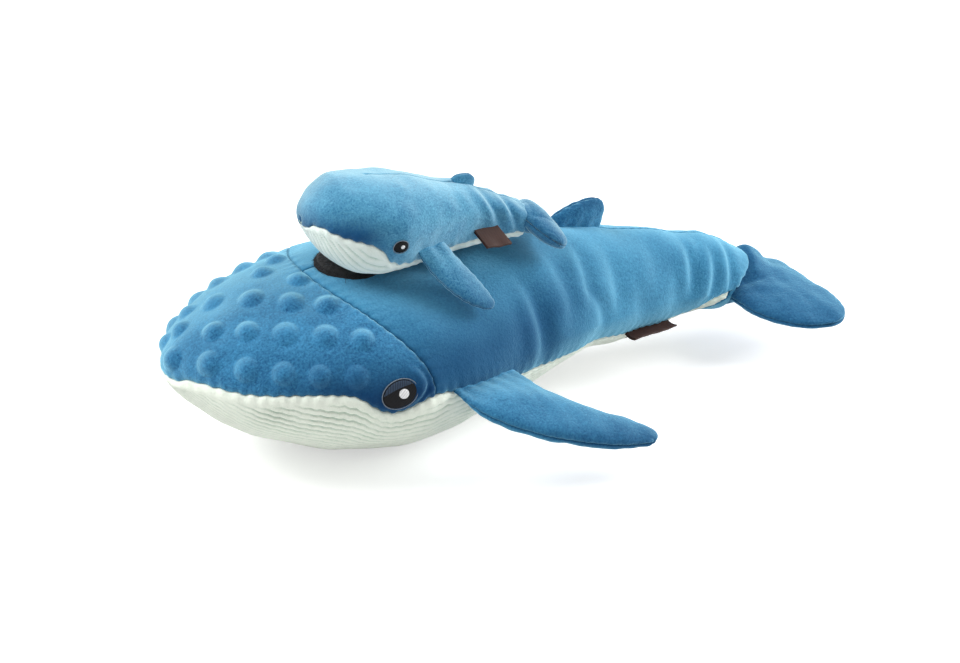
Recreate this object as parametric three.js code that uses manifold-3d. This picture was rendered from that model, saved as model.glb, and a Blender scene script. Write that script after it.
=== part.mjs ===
// Plush mother whale with a lift-off calf on her back, a soft toy for dogs.
// Millimetres, +Z up. The mother swims towards -X and her tail points to +X.
// The origin is the middle of the flat rest face under her belly. Her body and everything on it
// are drawn around x = 0 at mid length, and the whole toy is then set over the origin.

import * as THREE from 'three';
import { mergeVertices } from 'three/addons/utils/BufferGeometryUtils.js';
import Module from 'manifold-3d';

const wasm = await Module();
wasm.setup();

// Fabric and gaps
const skin = 3;
const finSkin = 2.2;
const seamGap = 0.3;
const stuffingGap = 0.5;
const hingeGap = 0.5;
const hingeStandOff = 1.2;
const restCut = 0.5;
const restMiddleX = -40;

// Mother's body
const mother = {
  noseX: -195,
  endX: 215,
  halfWidth: 90,
  widestX: -68,
  noseWidthPower: 1.72,
  tailHalfWidth: 20,
  tailWidthPower: 0.68,
  topHeight: 115,
  topX: -66,
  noseTopPower: 2.1,
  tailTopHeight: 52,
  tailTopPower: 1.6,
  noseHeight: 60,
  bottomHeight: 0,
  bottomFrontX: -72,
  noseBottomPower: 1.45,
  bottomRearX: -12,
  tailBottomHeight: 26,
  tailBottomPower: 1.14,
  lowerSquareness: 2.05,
  tailSquareness: 1.6,
  rings: 20,
  ringPoints: 24,
};
const eyeX = -86.7;
const finRootFrontX = -51;
const finRootRearX = 1;
const labelX = 121;
const headSeamSpineX = -106;
const headSeamSideX = -64;
const headStuffingEndX = -72;
const tailStuffingStartX = 95;

// The line where the blue upper side meets the belly: x, and the height above the nose.
const sideSeamLine = [
  [mother.noseX - 10, 3],
  [mother.noseX + 15, 5.5],
  [mother.noseX + 50, 8.5],
  [eyeX - 34, 8.5],
  [eyeX - 13, 1],
  [eyeX, -6],
  [eyeX + 12, -4],
  [headSeamSideX, -1],
  [finRootFrontX + 5, -4],
  [finRootRearX, -16],
  [finRootRearX + 50, -20],
  [labelX, -25.5],
  [mother.endX - 45, -24],
  [mother.endX + 10, -22],
];

// Mother's pectoral fins
const finRootFrontAngle = 93;
const finRootRearAngle = 102;
const finReach = [78, -58, -32];
const finThickness = 17;
const finRootThickness = 1.5;

const finTurns = [-10, 40];
const rootBury = 4;

// Mother's tail fluke
const flukeX = 205;
const flukeHeight = 39;
const flukeHalfWidth = 69;
const flukeChord = 46;
const flukeMiddle = 19;
const flukeSweep = 15;
const flukeDrop = 16;
const flukeRootThickness = 27;
const flukeThickness = 20;
const flukeNotchMargin = 3;
const creaseAngle = 13;
const creaseHeight = 60;

// Mother's dorsal fin
const dorsalFrontX = 60;
const dorsalRearX = 101;
const dorsalReach = [15, 0, 14.5];
const dorsalThickness = 9;
const dorsalTurns = [-25, 25];

// Mother's eyes
const eyeAngle = 84;
const eyeLength = 24;
const eyeHeight = 16;
const eyeTilt = 38;
const eyeThickness = 1;
const highlightRadius = 3.1;
const highlightOffset = [1, -1.6];

// Hook and loop patches
const patchX = -76;
const patchY = -6;
const loopPatchRadius = 23;
const hookPatchRadius = 21;
const patchThickness = 1.6;

// Labels
const labelThickness = 0.7;
const labelAngle = 117;
const labelLength = 36;
const labelFlap = 8;
const labelTilt = 38;
const labelFoldGap = 0.5;
const labelTurns = [0, 60];
const calfLabelX = 109;
const calfLabelAngle = 116;
const calfLabelLength = 17.5;
const calfLabelFlap = 15;
const calfLabelTilt = 22;

// Squeakers
const squeakerRadius = 24;
const squeakerHeight = 22;
const squeakerWall = 1.6;
const squeakerNeckRadius = 6;
const squeakerNeckLength = 5;
const squeakerCentreHeight = 0.504 * mother.topHeight;
const reedInset = 1;
const reedDimple = 1.5;

// Calf's body, in a frame whose origin lies under its nose
const calfNoseX = -109;
const calfNoseY = -8;
const calfYaw = -5.25;
const calf = {
  noseX: 0,
  endX: 147.5,
  halfWidth: 37,
  widestX: 51,
  noseWidthPower: 2.05,
  tailHalfWidth: 11,
  tailWidthPower: 0.64,
  topHeight: 170.5,
  topX: 22,
  noseTopPower: 1.6,
  tailTopHeight: 137.5,
  tailTopPower: 1.12,
  noseHeight: 145,
  bottomHeight: 117.5,
  bottomFrontX: 36,
  noseBottomPower: 1.85,
  bottomRearX: 70,
  tailBottomHeight: 121,
  tailBottomPower: 1.5,
  lowerSquareness: 2.6,
  tailSquareness: 2.2,
  rings: 14,
  ringPoints: 16,
};
const calfEyeX = 47.5;
const calfFinRearX = 80;
const calfSeamLine = [
  [calf.noseX - 6, -1.5],
  [calf.noseX + 12, -1],
  [calfEyeX - 20, -4.5],
  [calfEyeX - 11, -9],
  [calfEyeX - 4, -15.5],
  [calfEyeX + 4, -17.5],
  [calfFinRearX, -17.5],
  [calf.endX - 30, -18],
  [calf.endX + 5, -19.5],
];
const calfDartX = 38;
const calfDartWidth = 0.8;
const calfDartDrop = 8;
const calfStuffingJoinX = 48;
const calfSqueakerRadius = 0.245 * (calf.topHeight - calf.bottomHeight);
const calfSqueakerHeight = 15;
const calfSqueakerCentreHeight = 0.5 * (calf.topHeight + calf.bottomHeight);

// Calf's fins and fluke
const calfFinFrontX = 60;
const calfFinAngle = 121;
const calfFinReachLeft = [27, -25, -33];
const calfFinReachRight = [28, 29, -15];
const calfFinThickness = 7.5;
const calfFinTurnsLeft = [0, 50];
const calfFinTurnsRight = [-5, 40];
const calfFlukeX = 140;
const calfFlukeHeight = 129;
const calfFlukePitch = 34;
const calfFlukeHalfWidth = 25;
const calfFlukeChord = 20;
const calfFlukeMiddle = 9.5;
const calfFlukeSweep = 10;
const calfFlukeDrop = 3;
const calfFlukeThickness = 8;
const calfDorsalFrontX = 94;
const calfDorsalRearX = 110;
const calfDorsalReach = [3, 0, 7];
const calfDorsalThickness = 4.5;
const calfEyeAngle = 103;
const calfEyeLength = 11;
const calfEyeHeight = 10;
const calfHighlightRadius = 1.4;
const calfHighlightOffset = [1, 0.6];

// Colours
const plushBlue = { color: 0x4b94bf, roughness: 0.95, metalness: 0 };
const plushHead = { color: 0x3f8fbd, roughness: 0.95, metalness: 0 };
const corduroyMint = { color: 0xdfe9dd, roughness: 0.95, metalness: 0 };
const fibrefill = { color: 0xf2f2ee, roughness: 1, metalness: 0 };
const threadBlack = { color: 0x0c0c0f, roughness: 0.7, metalness: 0 };
const threadGrey = { color: 0x2d3136, roughness: 0.7, metalness: 0 };
const threadWhite = { color: 0xe6e8ea, roughness: 0.7, metalness: 0 };
const patchBlack = { color: 0x101012, roughness: 0.95, metalness: 0 };
const labelBrown = { color: 0x3a2620, roughness: 0.9, metalness: 0 };
const squeakerWhite = { color: 0xe8e8e4, roughness: 0.5, metalness: 0 };
const reedClear = { color: 0xd8dde0, roughness: 0.4, metalness: 0 };

const squeakerSides = 10;
const farAway = 400;
const plateReach = 30;
const eyeReach = 6;
const degree = Math.PI / 180;

// Solids

// A closed BufferGeometry as a solid, turned to have its faces pointing out.
function toSolid(geometry) {
  const bare = geometry.clone();
  bare.deleteAttribute('normal');
  bare.deleteAttribute('uv');
  const merged = mergeVertices(bare, 1e-4);
  const triVerts = new Uint32Array(merged.index.array);
  const vertProperties = new Float32Array(merged.attributes.position.array);
  return new wasm.Manifold(new wasm.Mesh({ numProp: 3, vertProperties, triVerts }));
}

function toGeometry(solid) {
  const mesh = solid.getMesh();
  const geometry = new THREE.BufferGeometry();
  geometry.setAttribute('position', new THREE.BufferAttribute(mesh.vertProperties, 3));
  geometry.setIndex(new THREE.BufferAttribute(mesh.triVerts, 1));
  geometry.computeVertexNormals();
  return geometry;
}

function addMesh(parent, name, solid, look) {
  const material = new THREE.MeshStandardMaterial(look);
  const mesh = new THREE.Mesh(toGeometry(solid), material);
  mesh.name = name;
  parent.add(mesh);
}

// A box given by its lowest and highest corners.
function boxSolid(low, high) {
  const size = high.map((value, axis) => value - low[axis]);
  const geometry = new THREE.BoxGeometry(...size);
  geometry.translate(...low.map((value, axis) => value + size[axis] / 2));
  return toSolid(geometry);
}

// An outline in X and Z, swept along Y from -reach to reach.
function prismAlongY(points, reach) {
  const shape = new THREE.Shape(points.map(([x, z]) => new THREE.Vector2(x, z)));
  const geometry = new THREE.ExtrudeGeometry(shape, { depth: 2 * reach, bevelEnabled: false });
  geometry.rotateX(Math.PI / 2);
  geometry.translate(0, reach, 0);
  return toSolid(geometry);
}

// An outline in X and Y, swept along Z from low to high.
function prismAlongZ(points, low, high) {
  const shape = new THREE.Shape(points.map(([x, y]) => new THREE.Vector2(x, y)));
  const geometry = new THREE.ExtrudeGeometry(shape, { depth: high - low, bevelEnabled: false });
  geometry.translate(0, 0, low);
  return toSolid(geometry);
}

// A flat shape swept both ways along the Z axis of a frame, as a solid in the frame's parent.
function prismInFrame(shape, frame, reach) {
  const geometry = new THREE.ExtrudeGeometry(shape, {
    depth: 2 * reach,
    bevelEnabled: false,
    curveSegments: 7,
  });
  geometry.translate(0, 0, -reach);
  geometry.applyMatrix4(frame);
  return toSolid(geometry);
}

// Rings of points joined into a closed surface. A ring of one point is a pole, and an open end
// ring is closed by a fan round its middle.
function loft(rings) {
  const positions = [];
  const starts = rings.map((ring) => {
    const start = positions.length / 3;
    ring.forEach((point) => positions.push(...point));
    return start;
  });
  const triangles = [];
  const addPoint = (point) => positions.push(...point) / 3 - 1;
  const meanOf = (ring, axis) => ring.reduce((sum, point) => sum + point[axis], 0) / ring.length;
  const middleOf = (ring) => [0, 1, 2].map((axis) => meanOf(ring, axis));
  const fan = (centre, start, count, forward) => {
    for (let j = 0; j < count; j += 1) {
      const a = start + j;
      const b = start + ((j + 1) % count);
      triangles.push(...(forward ? [centre, a, b] : [centre, b, a]));
    }
  };
  for (let i = 0; i + 1 < rings.length; i += 1) {
    const count = Math.max(rings[i].length, rings[i + 1].length);
    if (rings[i].length === 1) {
      fan(starts[i], starts[i + 1], count, true);
    } else if (rings[i + 1].length === 1) {
      fan(starts[i + 1], starts[i], count, false);
    } else {
      for (let j = 0; j < count; j += 1) {
        const k = (j + 1) % count;
        const here = starts[i];
        const next = starts[i + 1];
        triangles.push(here + j, next + j, here + k, here + k, next + j, next + k);
      }
    }
  }
  for (const [end, forward] of [[0, true], [rings.length - 1, false]]) {
    const ring = rings[end];
    if (ring.length > 1) fan(addPoint(middleOf(ring)), starts[end], ring.length, forward);
  }
  const geometry = new THREE.BufferGeometry();
  geometry.setAttribute('position', new THREE.Float32BufferAttribute(positions, 3));
  geometry.setIndex(triangles);
  return facingOut(geometry);
}

// Turns every triangle over where the closed surface holds a negative volume.
function facingOut(geometry) {
  const position = geometry.attributes.position;
  const index = geometry.index.array;
  const corner = (k) => new THREE.Vector3().fromBufferAttribute(position, index[k]);
  let volume = 0;
  for (let k = 0; k < index.length; k += 3) {
    volume += corner(k).dot(corner(k + 1).cross(corner(k + 2)));
  }
  if (volume < 0) {
    for (let k = 0; k < index.length; k += 3) {
      [index[k], index[k + 1]] = [index[k + 1], index[k]];
    }
  }
  return geometry;
}

// The stuffed bodies

const clamp01 = (value) => Math.min(Math.max(value, 0), 1);

// Goes from 0 to 1 with a blunt start, as (1 - (1 - t)^power)^(1 / power).
const bluntRise = (t, power) => (1 - (1 - clamp01(t)) ** power) ** (1 / power);

// Goes from 1 to 0 along a squared cosine of t^power.
const softFall = (t, power) => Math.cos((Math.PI / 2) * clamp01(t) ** power) ** 2;

// The half width and the top, side and bottom heights of a body at x, all moved inwards by inset.
function bodySection(body, x, inset) {
  const nose = body.noseX + inset;
  const length = body.endX - body.noseX;
  const side = body.noseHeight
    + (0.5 * (body.tailTopHeight + body.tailBottomHeight) - body.noseHeight)
    * clamp01((x - body.bottomRearX) / (body.endX - body.bottomRearX)) ** 1.5;
  const beyondEnd = 0.07 * length;
  let halfWidth = body.halfWidth - inset;
  if (x < body.widestX) {
    halfWidth *= bluntRise((x - nose) / (body.widestX - nose), body.noseWidthPower);
  } else {
    const share = (x - body.widestX) / (body.endX + beyondEnd - body.widestX);
    const fall = softFall(share, body.tailWidthPower);
    halfWidth = body.tailHalfWidth - inset + (body.halfWidth - body.tailHalfWidth) * fall;
  }
  let top = body.topHeight - inset;
  if (x < body.topX) {
    const rise = bluntRise((x - nose) / (body.topX - nose), body.noseTopPower);
    top = body.noseHeight + (top - body.noseHeight) * rise;
  } else {
    const fall = softFall((x - body.topX) / (body.endX + beyondEnd - body.topX), body.tailTopPower);
    top = body.tailTopHeight - inset + (body.topHeight - body.tailTopHeight) * fall;
  }
  let bottom = body.bottomHeight + inset;
  if (x < body.bottomFrontX) {
    const rise = bluntRise((x - nose) / (body.bottomFrontX - nose), body.noseBottomPower);
    bottom = body.noseHeight + (bottom - body.noseHeight) * rise;
  } else {
    const share = clamp01((x - body.bottomRearX) / (body.endX - body.bottomRearX));
    bottom += (body.tailBottomHeight - body.bottomHeight) * share ** body.tailBottomPower;
  }
  const rearShare = clamp01((x - body.bottomFrontX) / (body.endX - body.bottomFrontX));
  const ease = Math.min(2.5 * rearShare, 1);
  const squareness = body.lowerSquareness + (body.tailSquareness - body.lowerSquareness) * ease;
  return { halfWidth, top, side, bottom, squareness };
}

// A point of the body's surface. The angle is in degrees from the spine, towards -Y.
function bodyPoint(body, x, angle, inset) {
  const { halfWidth, top, side, bottom, squareness } = bodySection(body, x, inset);
  const sine = Math.sin(angle * degree);
  const cosine = Math.cos(angle * degree);
  if (cosine > 0) return [x, -halfWidth * sine, side + (top - side) * cosine];
  const power = 2 / squareness;
  const y = -halfWidth * Math.sign(sine) * Math.abs(sine) ** power;
  return [x, y, side - (side - bottom) * Math.abs(cosine) ** power];
}

// The rings have a flat between two points at the bottom, where a body is pressed on the floor.
function bodySolid(body, inset) {
  const nose = body.noseX + inset;
  const rings = [[[nose, 0, body.noseHeight]]];
  for (let i = 1; i <= body.rings; i += 1) {
    const x = nose + (body.endX - nose) * (i / body.rings) ** 1.6;
    const ring = [];
    for (let j = 0; j < body.ringPoints; j += 1) {
      ring.push(bodyPoint(body, x, (360 * (j + 0.5)) / body.ringPoints, inset));
    }
    rings.push(ring);
  }
  return toSolid(loft(rings));
}

// The frame of a point on a body's side: Y points up along the skin and Z outwards, so that a
// shape drawn in it is mirrored on the other side where its X is turned over.
function surfaceFrame(body, x, angle, turn) {
  const step = 0.5;
  const at = (dx, da) => new THREE.Vector3(...bodyPoint(body, x + dx, angle + da, 0));
  const along = at(step, 0).sub(at(-step, 0)).normalize().multiplyScalar(Math.sign(angle));
  const round = at(0, -step).sub(at(0, step)).multiplyScalar(Math.sign(angle)).normalize();
  const out = along.clone().cross(round).normalize();
  const across = out.clone().cross(along);
  const frame = new THREE.Matrix4().makeBasis(along, across, out).setPosition(at(0, 0));
  return frame.multiply(new THREE.Matrix4().makeRotationZ(turn * degree));
}

// A thin plate that follows the body's surface inside a prism.
function surfacePlate(body, prism, lift, thickness) {
  return bodySolid(body, -lift - thickness).subtract(bodySolid(body, -lift)).intersect(prism);
}

// Fins and flukes

// A padded paddle in its own frame: X is its length, Y its chord and Z its thickness.
// Half chord: 0.5 chord (1 + swell t) sqrt(1 - t^blunt). Middle: middle + sweep t^1.75.
// Half thickness: from the root's to the full one within the blend length, rounded at the tip.
function paddleSolid(paddle, inset) {
  const { length, chord, sweep, thickness, rootThickness, blend, side, bothWays } = paddle;
  const { middle = 0, drop = 0, swell = 0.2, blunt = 3.2, steps = 7, points = 10 } = paddle;
  const end = length - inset;
  const ringAt = (u) => {
    const t = Math.min(Math.abs(u) / end, 1);
    const round = Math.sqrt(1 - t ** blunt);
    const halfChord = (0.5 * chord * (1 + swell * t) - inset) * round;
    const grown = Math.sin((Math.PI / 2) * clamp01(Math.abs(u) / blend));
    const full = 0.5 * (rootThickness + (thickness - rootThickness) * grown);
    const halfThickness = Math.max(full - inset, 0.1) * Math.sqrt(1 - t ** 4);
    const ring = [];
    for (let j = 0; j < points; j += 1) {
      const angle = (2 * Math.PI * j) / points;
      const y = middle + sweep * t ** 1.75 + halfChord * Math.cos(angle);
      ring.push([u, side * y, halfThickness * Math.sin(angle) - drop * t ** 1.5]);
    }
    return t < 1 ? ring : [[u, side * (middle + sweep), -drop]];
  };
  const rings = [];
  const first = bothWays ? -steps : 0;
  for (let i = first; i <= steps; i += 1) {
    const share = Math.sign(i) * Math.sin(((Math.PI / 2) * Math.abs(i)) / steps);
    const from = bothWays ? 0 : inset - rootBury;
    rings.push(ringAt(from + (end - from) * share));
  }
  return toSolid(loft(rings));
}

// The frame of a fin whose root runs from front to rear: X points along reach, Z is the upper side.
function finFrame(front, rear, reach) {
  const origin = new THREE.Vector3(...front).add(new THREE.Vector3(...rear)).multiplyScalar(0.5);
  const forward = new THREE.Vector3(...front).sub(new THREE.Vector3(...rear));
  const rootChord = forward.length();
  forward.normalize();
  const target = new THREE.Vector3(...reach);
  const sweep = -target.dot(forward);
  const outward = target.clone().addScaledVector(forward, sweep);
  const length = outward.length();
  outward.normalize();
  const upper = forward.clone().cross(outward);
  const side = reach[1] > 0 ? -1 : 1;
  upper.multiplyScalar(side);
  const across = upper.clone().cross(outward);
  const matrix = new THREE.Matrix4().makeBasis(outward, across, upper).setPosition(origin);
  return { matrix, rootChord, sweep, length, side };
}

function inFrame(solidGeometry, matrix) {
  const geometry = solidGeometry.clone();
  geometry.applyMatrix4(matrix.clone().invert());
  return toSolid(geometry);
}

// What a piece in this frame has to keep clear of, at rest and turned to each limit of its hinge,
// which lies along the frame's axis. The geometry turns the opposite way to the piece.
function clearOf(keepOut, matrix, turns, axis) {
  const inverse = matrix.clone().invert();
  return turns.reduce((swept, turn) => {
    const geometry = keepOut.clone();
    geometry.applyMatrix4(inverse);
    geometry.applyMatrix4(new THREE.Matrix4().makeRotationAxis(axis, turn * degree));
    return swept.add(toSolid(geometry));
  }, inFrame(keepOut, matrix));
}

const acrossRoot = new THREE.Vector3(0, 1, 0);
const alongLabel = new THREE.Vector3(0, 0, 1);

function placedGroup(parent, matrix) {
  const group = new THREE.Group();
  matrix.decompose(group.position, group.quaternion, group.scale);
  parent.add(group);
  return group;
}

// All that lies above or below the seam round a paddle's edge, which droops with the paddle.
function besideSeam(paddle, way) {
  const { length, drop = 0, steps = 7 } = paddle;
  const line = [];
  const reach = drop === 0 ? 1 : steps;
  for (let i = -reach; i <= reach; i += 1) {
    const u = (1.2 * length * i) / reach;
    line.push([u, (way * seamGap) / 2 - drop * Math.abs(u / length) ** 1.5]);
  }
  const ends = [[1.2 * length, way * farAway], [-1.2 * length, way * farAway]];
  return prismAlongY([...line, ...ends], farAway);
}

// The upper and lower panels of a padded paddle, and its padding where it is thick enough.
function addPanels(group, names, paddle, keepOut, look, padded) {
  const shell = paddleSolid(paddle, 0).subtract(keepOut);
  const core = padded ? paddleSolid(paddle, finSkin) : null;
  const skinOnly = padded ? shell.subtract(core) : shell;
  addMesh(group, names[0], skinOnly.intersect(besideSeam(paddle, 1)), look);
  addMesh(group, names[1], skinOnly.intersect(besideSeam(paddle, -1)), look);
  if (padded) {
    const filling = paddleSolid(paddle, finSkin + stuffingGap);
    addMesh(group, names[2], filling.subtract(keepOut), fibrefill);
  }
}

const toy = new THREE.Group();

// Mother's body

// The rest face is cut restCut deep into the lowest flat of her belly.
const motherOuter = bodySolid(mother, 0);
const lowestAngle = 180 - 180 / mother.ringPoints;
const restHeight = bodyPoint(mother, restMiddleX, lowestAngle, 0)[2] + restCut;
const aboveFloor = boxSolid([-farAway, -farAway, restHeight], [farAway, farAway, farAway]);

// A smooth seam line in X and Z, moved up by shift.
function seamCurve(body, points, shift) {
  const corners = points.map(([x, rise]) => new THREE.Vector2(x, body.noseHeight + rise + shift));
  return new THREE.SplineCurve(corners).getPoints(2 * points.length).map(({ x, y }) => [x, y]);
}

// Everything on one side of a seam line in X and Z: above it for way 1, below it for way -1.
function besideLine(line, way) {
  const first = line[0];
  const last = line[line.length - 1];
  return prismAlongY([...line, [last[0], way * farAway], [first[0], way * farAway]], farAway);
}

const aboveSeam = besideLine(seamCurve(mother, sideSeamLine, seamGap / 2), 1);
const belowSeam = besideLine(seamCurve(mother, sideSeamLine, -seamGap / 2), -1);

// Everything in front of the head seam for way -1, or behind it for way 1. The seam is a parabola
// in plan, from the spine to the side seam.
function besideHeadSeam(way) {
  const points = [];
  const steps = 12;
  const reach = 1.1;
  const depth = headSeamSideX - headSeamSpineX;
  for (let i = -steps; i <= steps; i += 1) {
    const share = (reach * i) / steps;
    const x = headSeamSpineX + depth * share ** 2 + (way * seamGap) / 2;
    points.push([x, mother.halfWidth * share]);
  }
  const side = reach * mother.halfWidth;
  return prismAlongZ([...points, [way * farAway, side], [way * farAway, -side]], 0, farAway);
}

const headRegion = besideHeadSeam(-1);
const backRegion = besideHeadSeam(1);

// The notch between a body's end and its fluke, open by the crease angle on each side.
function creaseSolid(x, height, reach) {
  const tall = creaseHeight;
  const wide = tall * Math.tan(creaseAngle * degree);
  const half = hingeGap / 2;
  return prismAlongY([
    [x - half, height],
    [x - half - wide, height - tall],
    [x + half + wide, height - tall],
    [x + half, height],
    [x + half + wide, height + tall],
    [x - half - wide, height + tall],
  ], reach);
}

const flukeReach = bodySection(mother, flukeX, 0).halfWidth + flukeNotchMargin;
const flukeCrease = creaseSolid(flukeX, flukeHeight, farAway);
const beforeFluke = boxSolid([-farAway, -farAway, -farAway], [flukeX, farAway, farAway]);
const motherInner = bodySolid(mother, skin);
const trimmed = (solid) => solid.intersect(aboveFloor).intersect(beforeFluke).subtract(flukeCrease);
const motherSkin = trimmed(motherOuter.subtract(motherInner));
const leftSide = boxSolid([-farAway, -farAway, -farAway], [farAway, -seamGap / 2, farAway]);
const rightSide = boxSolid([-farAway, seamGap / 2, -farAway], [farAway, farAway, farAway]);
const upperSkin = motherSkin.intersect(aboveSeam);
const backSkin = upperSkin.intersect(backRegion);

addMesh(toy, 'head_panel', upperSkin.intersect(headRegion), plushHead);
addMesh(toy, 'back_panel_left', backSkin.intersect(leftSide), plushBlue);
addMesh(toy, 'back_panel_right', backSkin.intersect(rightSide), plushBlue);
addMesh(toy, 'belly_panel', motherSkin.intersect(belowSeam), corduroyMint);

// Squeakers: a hollow bulb with an open neck, and a reed plug in the neck.

// The outer outline of a bulb and its neck, from the middle of its floor up, grown by grow.
function bulbOutline(radius, height, grow) {
  const half = height / 2;
  const neck = Math.min(squeakerNeckRadius, 0.45 * radius) + grow;
  return [
    [0, -half - grow],
    [0.6 * radius + grow, -half - grow],
    [0.9 * radius + grow, -0.6 * half - grow],
    [radius + grow, 0],
    [0.9 * radius + grow, 0.6 * half + grow],
    [0.6 * radius + grow, half + grow],
    [neck, half + grow],
    [neck, half + squeakerNeckLength + grow],
  ];
}

const latheOf = (profile, segments) => toSolid(
  mergeClean(new THREE.LatheGeometry(profile.map(([r, z]) => new THREE.Vector2(r, z)), segments)),
);

function squeakerBulb(radius, height) {
  const outer = bulbOutline(radius, height, 0);
  const inner = bulbOutline(radius, height, -squeakerWall).reverse();
  inner[0][1] = outer[outer.length - 1][1];
  return latheOf([...outer, ...inner], squeakerSides);
}

function squeakerReed(radius, height) {
  const neck = Math.min(squeakerNeckRadius, 0.45 * radius) - squeakerWall - seamGap;
  const low = height / 2 + reedInset;
  const top = height / 2 + squeakerNeckLength - seamGap;
  const dimple = 0.4 * neck;
  const floor = top - reedDimple;
  const profile = [[0, low], [neck, low], [neck, top], [dimple, top], [dimple, floor], [0, floor]];
  return latheOf(profile, squeakerSides);
}

// The pocket that a squeaker lies in.
function squeakerPocket(radius, height, matrix) {
  const outline = bulbOutline(radius, height, stuffingGap);
  const pocket = latheOf([...outline, [0, outline[outline.length - 1][1]]], squeakerSides);
  const geometry = toGeometry(pocket);
  geometry.applyMatrix4(matrix);
  return toSolid(geometry);
}

// A revolved geometry stood on the Z axis, with its points merged and its flat triangles dropped.
function mergeClean(geometry) {
  const bare = geometry.clone();
  bare.rotateX(Math.PI / 2);
  bare.deleteAttribute('normal');
  bare.deleteAttribute('uv');
  const merged = mergeVertices(bare, 1e-4);
  const kept = [];
  const index = merged.index.array;
  for (let k = 0; k < index.length; k += 3) {
    const [a, b, c] = [index[k], index[k + 1], index[k + 2]];
    if (a !== b && b !== c && a !== c) kept.push(a, b, c);
  }
  merged.setIndex(kept);
  return facingOut(merged);
}

function addSqueaker(parent, prefix, radius, height, matrix) {
  const group = placedGroup(parent, matrix);
  addMesh(group, `${prefix}squeaker_bulb`, squeakerBulb(radius, height), squeakerWhite);
  addMesh(group, `${prefix}squeaker_reed`, squeakerReed(radius, height), reedClear);
}

// The neck of a squeaker points along the toy, so its disc stands across it.
function squeakerFrame(x, height) {
  return new THREE.Matrix4().makeRotationY(Math.PI / 2).setPosition(x, 0, height);
}

const motherSqueakerFrame = squeakerFrame(headStuffingEndX, squeakerCentreHeight);
const motherFilling = trimmed(bodySolid(mother, skin + stuffingGap))
  .intersect(boxSolid([-farAway, -farAway, restHeight + skin], [farAway, farAway, farAway]))
  .subtract(squeakerPocket(squeakerRadius, squeakerHeight, motherSqueakerFrame));

// The part of a filling between two places along the toy.
function fillingPart(filling, from, to) {
  const low = [from + seamGap / 2, -farAway, -farAway];
  return filling.intersect(boxSolid(low, [to - seamGap / 2, farAway, farAway]));
}

const motherJoins = [-farAway, headStuffingEndX, tailStuffingStartX, farAway];
['head_stuffing', 'body_stuffing', 'tail_stuffing'].forEach((name, i) => {
  addMesh(toy, name, fillingPart(motherFilling, motherJoins[i], motherJoins[i + 1]), fibrefill);
});
addSqueaker(toy, '', squeakerRadius, squeakerHeight, motherSqueakerFrame);

// Mother's eyes: an embroidered oval with a lid and a highlight stitched over it.

function ellipseShape(length, height) {
  const shape = new THREE.Shape();
  shape.absellipse(0, 0, length / 2, height / 2, 0, 2 * Math.PI, false, 0);
  return shape;
}

function lidShape(length, height) {
  const shape = new THREE.Shape();
  const inner = 0.94;
  const start = 0.12 * Math.PI;
  const end = 0.88 * Math.PI;
  shape.absellipse(0, 0, (inner * length) / 2, (inner * height) / 2, start, end, false, 0);
  shape.closePath();
  return shape;
}

function addEye(parent, body, prefix, eye) {
  const second = 2 * seamGap + eyeThickness;
  for (const [name, mirror] of [['left', 1], ['right', -1]]) {
    const frame = surfaceFrame(body, eye.x, mirror * eye.angle, mirror * eye.tilt);
    const stitch = (part, shape, place, lift, thickness, look) => {
      const prism = prismInFrame(shape, place, eyeReach);
      const plate = surfacePlate(body, prism, lift, thickness);
      addMesh(parent, `${prefix}eye_${name}_${part}`, plate, look);
    };
    const oval = ellipseShape(eye.length, eye.height);
    stitch('patch', oval, frame, seamGap, eyeThickness, threadBlack);
    if (eye.lid) {
      stitch('lid', lidShape(eye.length, eye.height), frame, second, eyeThickness / 2, threadGrey);
    }
    const offset = new THREE.Matrix4().makeTranslation(mirror * eye.spot[0], eye.spot[1], 0);
    const light = ellipseShape(2 * eye.spotRadius, 2 * eye.spotRadius);
    stitch('highlight', light, frame.clone().multiply(offset), second, eyeThickness / 2, threadWhite);
  }
}

addEye(toy, mother, '', {
  x: eyeX,
  angle: eyeAngle,
  tilt: eyeTilt,
  length: eyeLength,
  height: eyeHeight,
  lid: true,
  spot: highlightOffset,
  spotRadius: highlightRadius,
});

// The round loop patch on her back.

const discPrism = (radius) => {
  const frame = new THREE.Matrix4().makeTranslation(patchX, patchY, mother.topHeight);
  return prismInFrame(ellipseShape(2 * radius, 2 * radius), frame, plateReach);
};
const loopPlate = surfacePlate(mother, discPrism(loopPatchRadius), seamGap, patchThickness);
addMesh(toy, 'loop_patch', loopPlate, patchBlack);

// Mother's pectoral fins

const motherKeepOut = toGeometry(bodySolid(mother, -hingeGap));
for (const [name, mirror] of [['left', 1], ['right', -1]]) {
  const root = finFrame(
    bodyPoint(mother, finRootFrontX, mirror * finRootFrontAngle, -hingeStandOff),
    bodyPoint(mother, finRootRearX, mirror * finRootRearAngle, -hingeStandOff),
    [finReach[0], mirror * finReach[1], finReach[2]],
  );
  const fin = placedGroup(toy, root.matrix);
  const paddle = {
    length: root.length,
    chord: root.rootChord,
    sweep: root.sweep,
    thickness: finThickness,
    rootThickness: finRootThickness,
    blend: 0.35 * root.length,
    side: root.side,
  };
  const names = ['upper', 'lower', 'padding'].map((part) => `pectoral_fin_${name}_${part}`);
  const keepOut = clearOf(motherKeepOut, root.matrix, finTurns, acrossRoot);
  addPanels(fin, names, paddle, keepOut, plushBlue, true);
}

// Mother's tail fluke, both lobes in one piece

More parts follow.
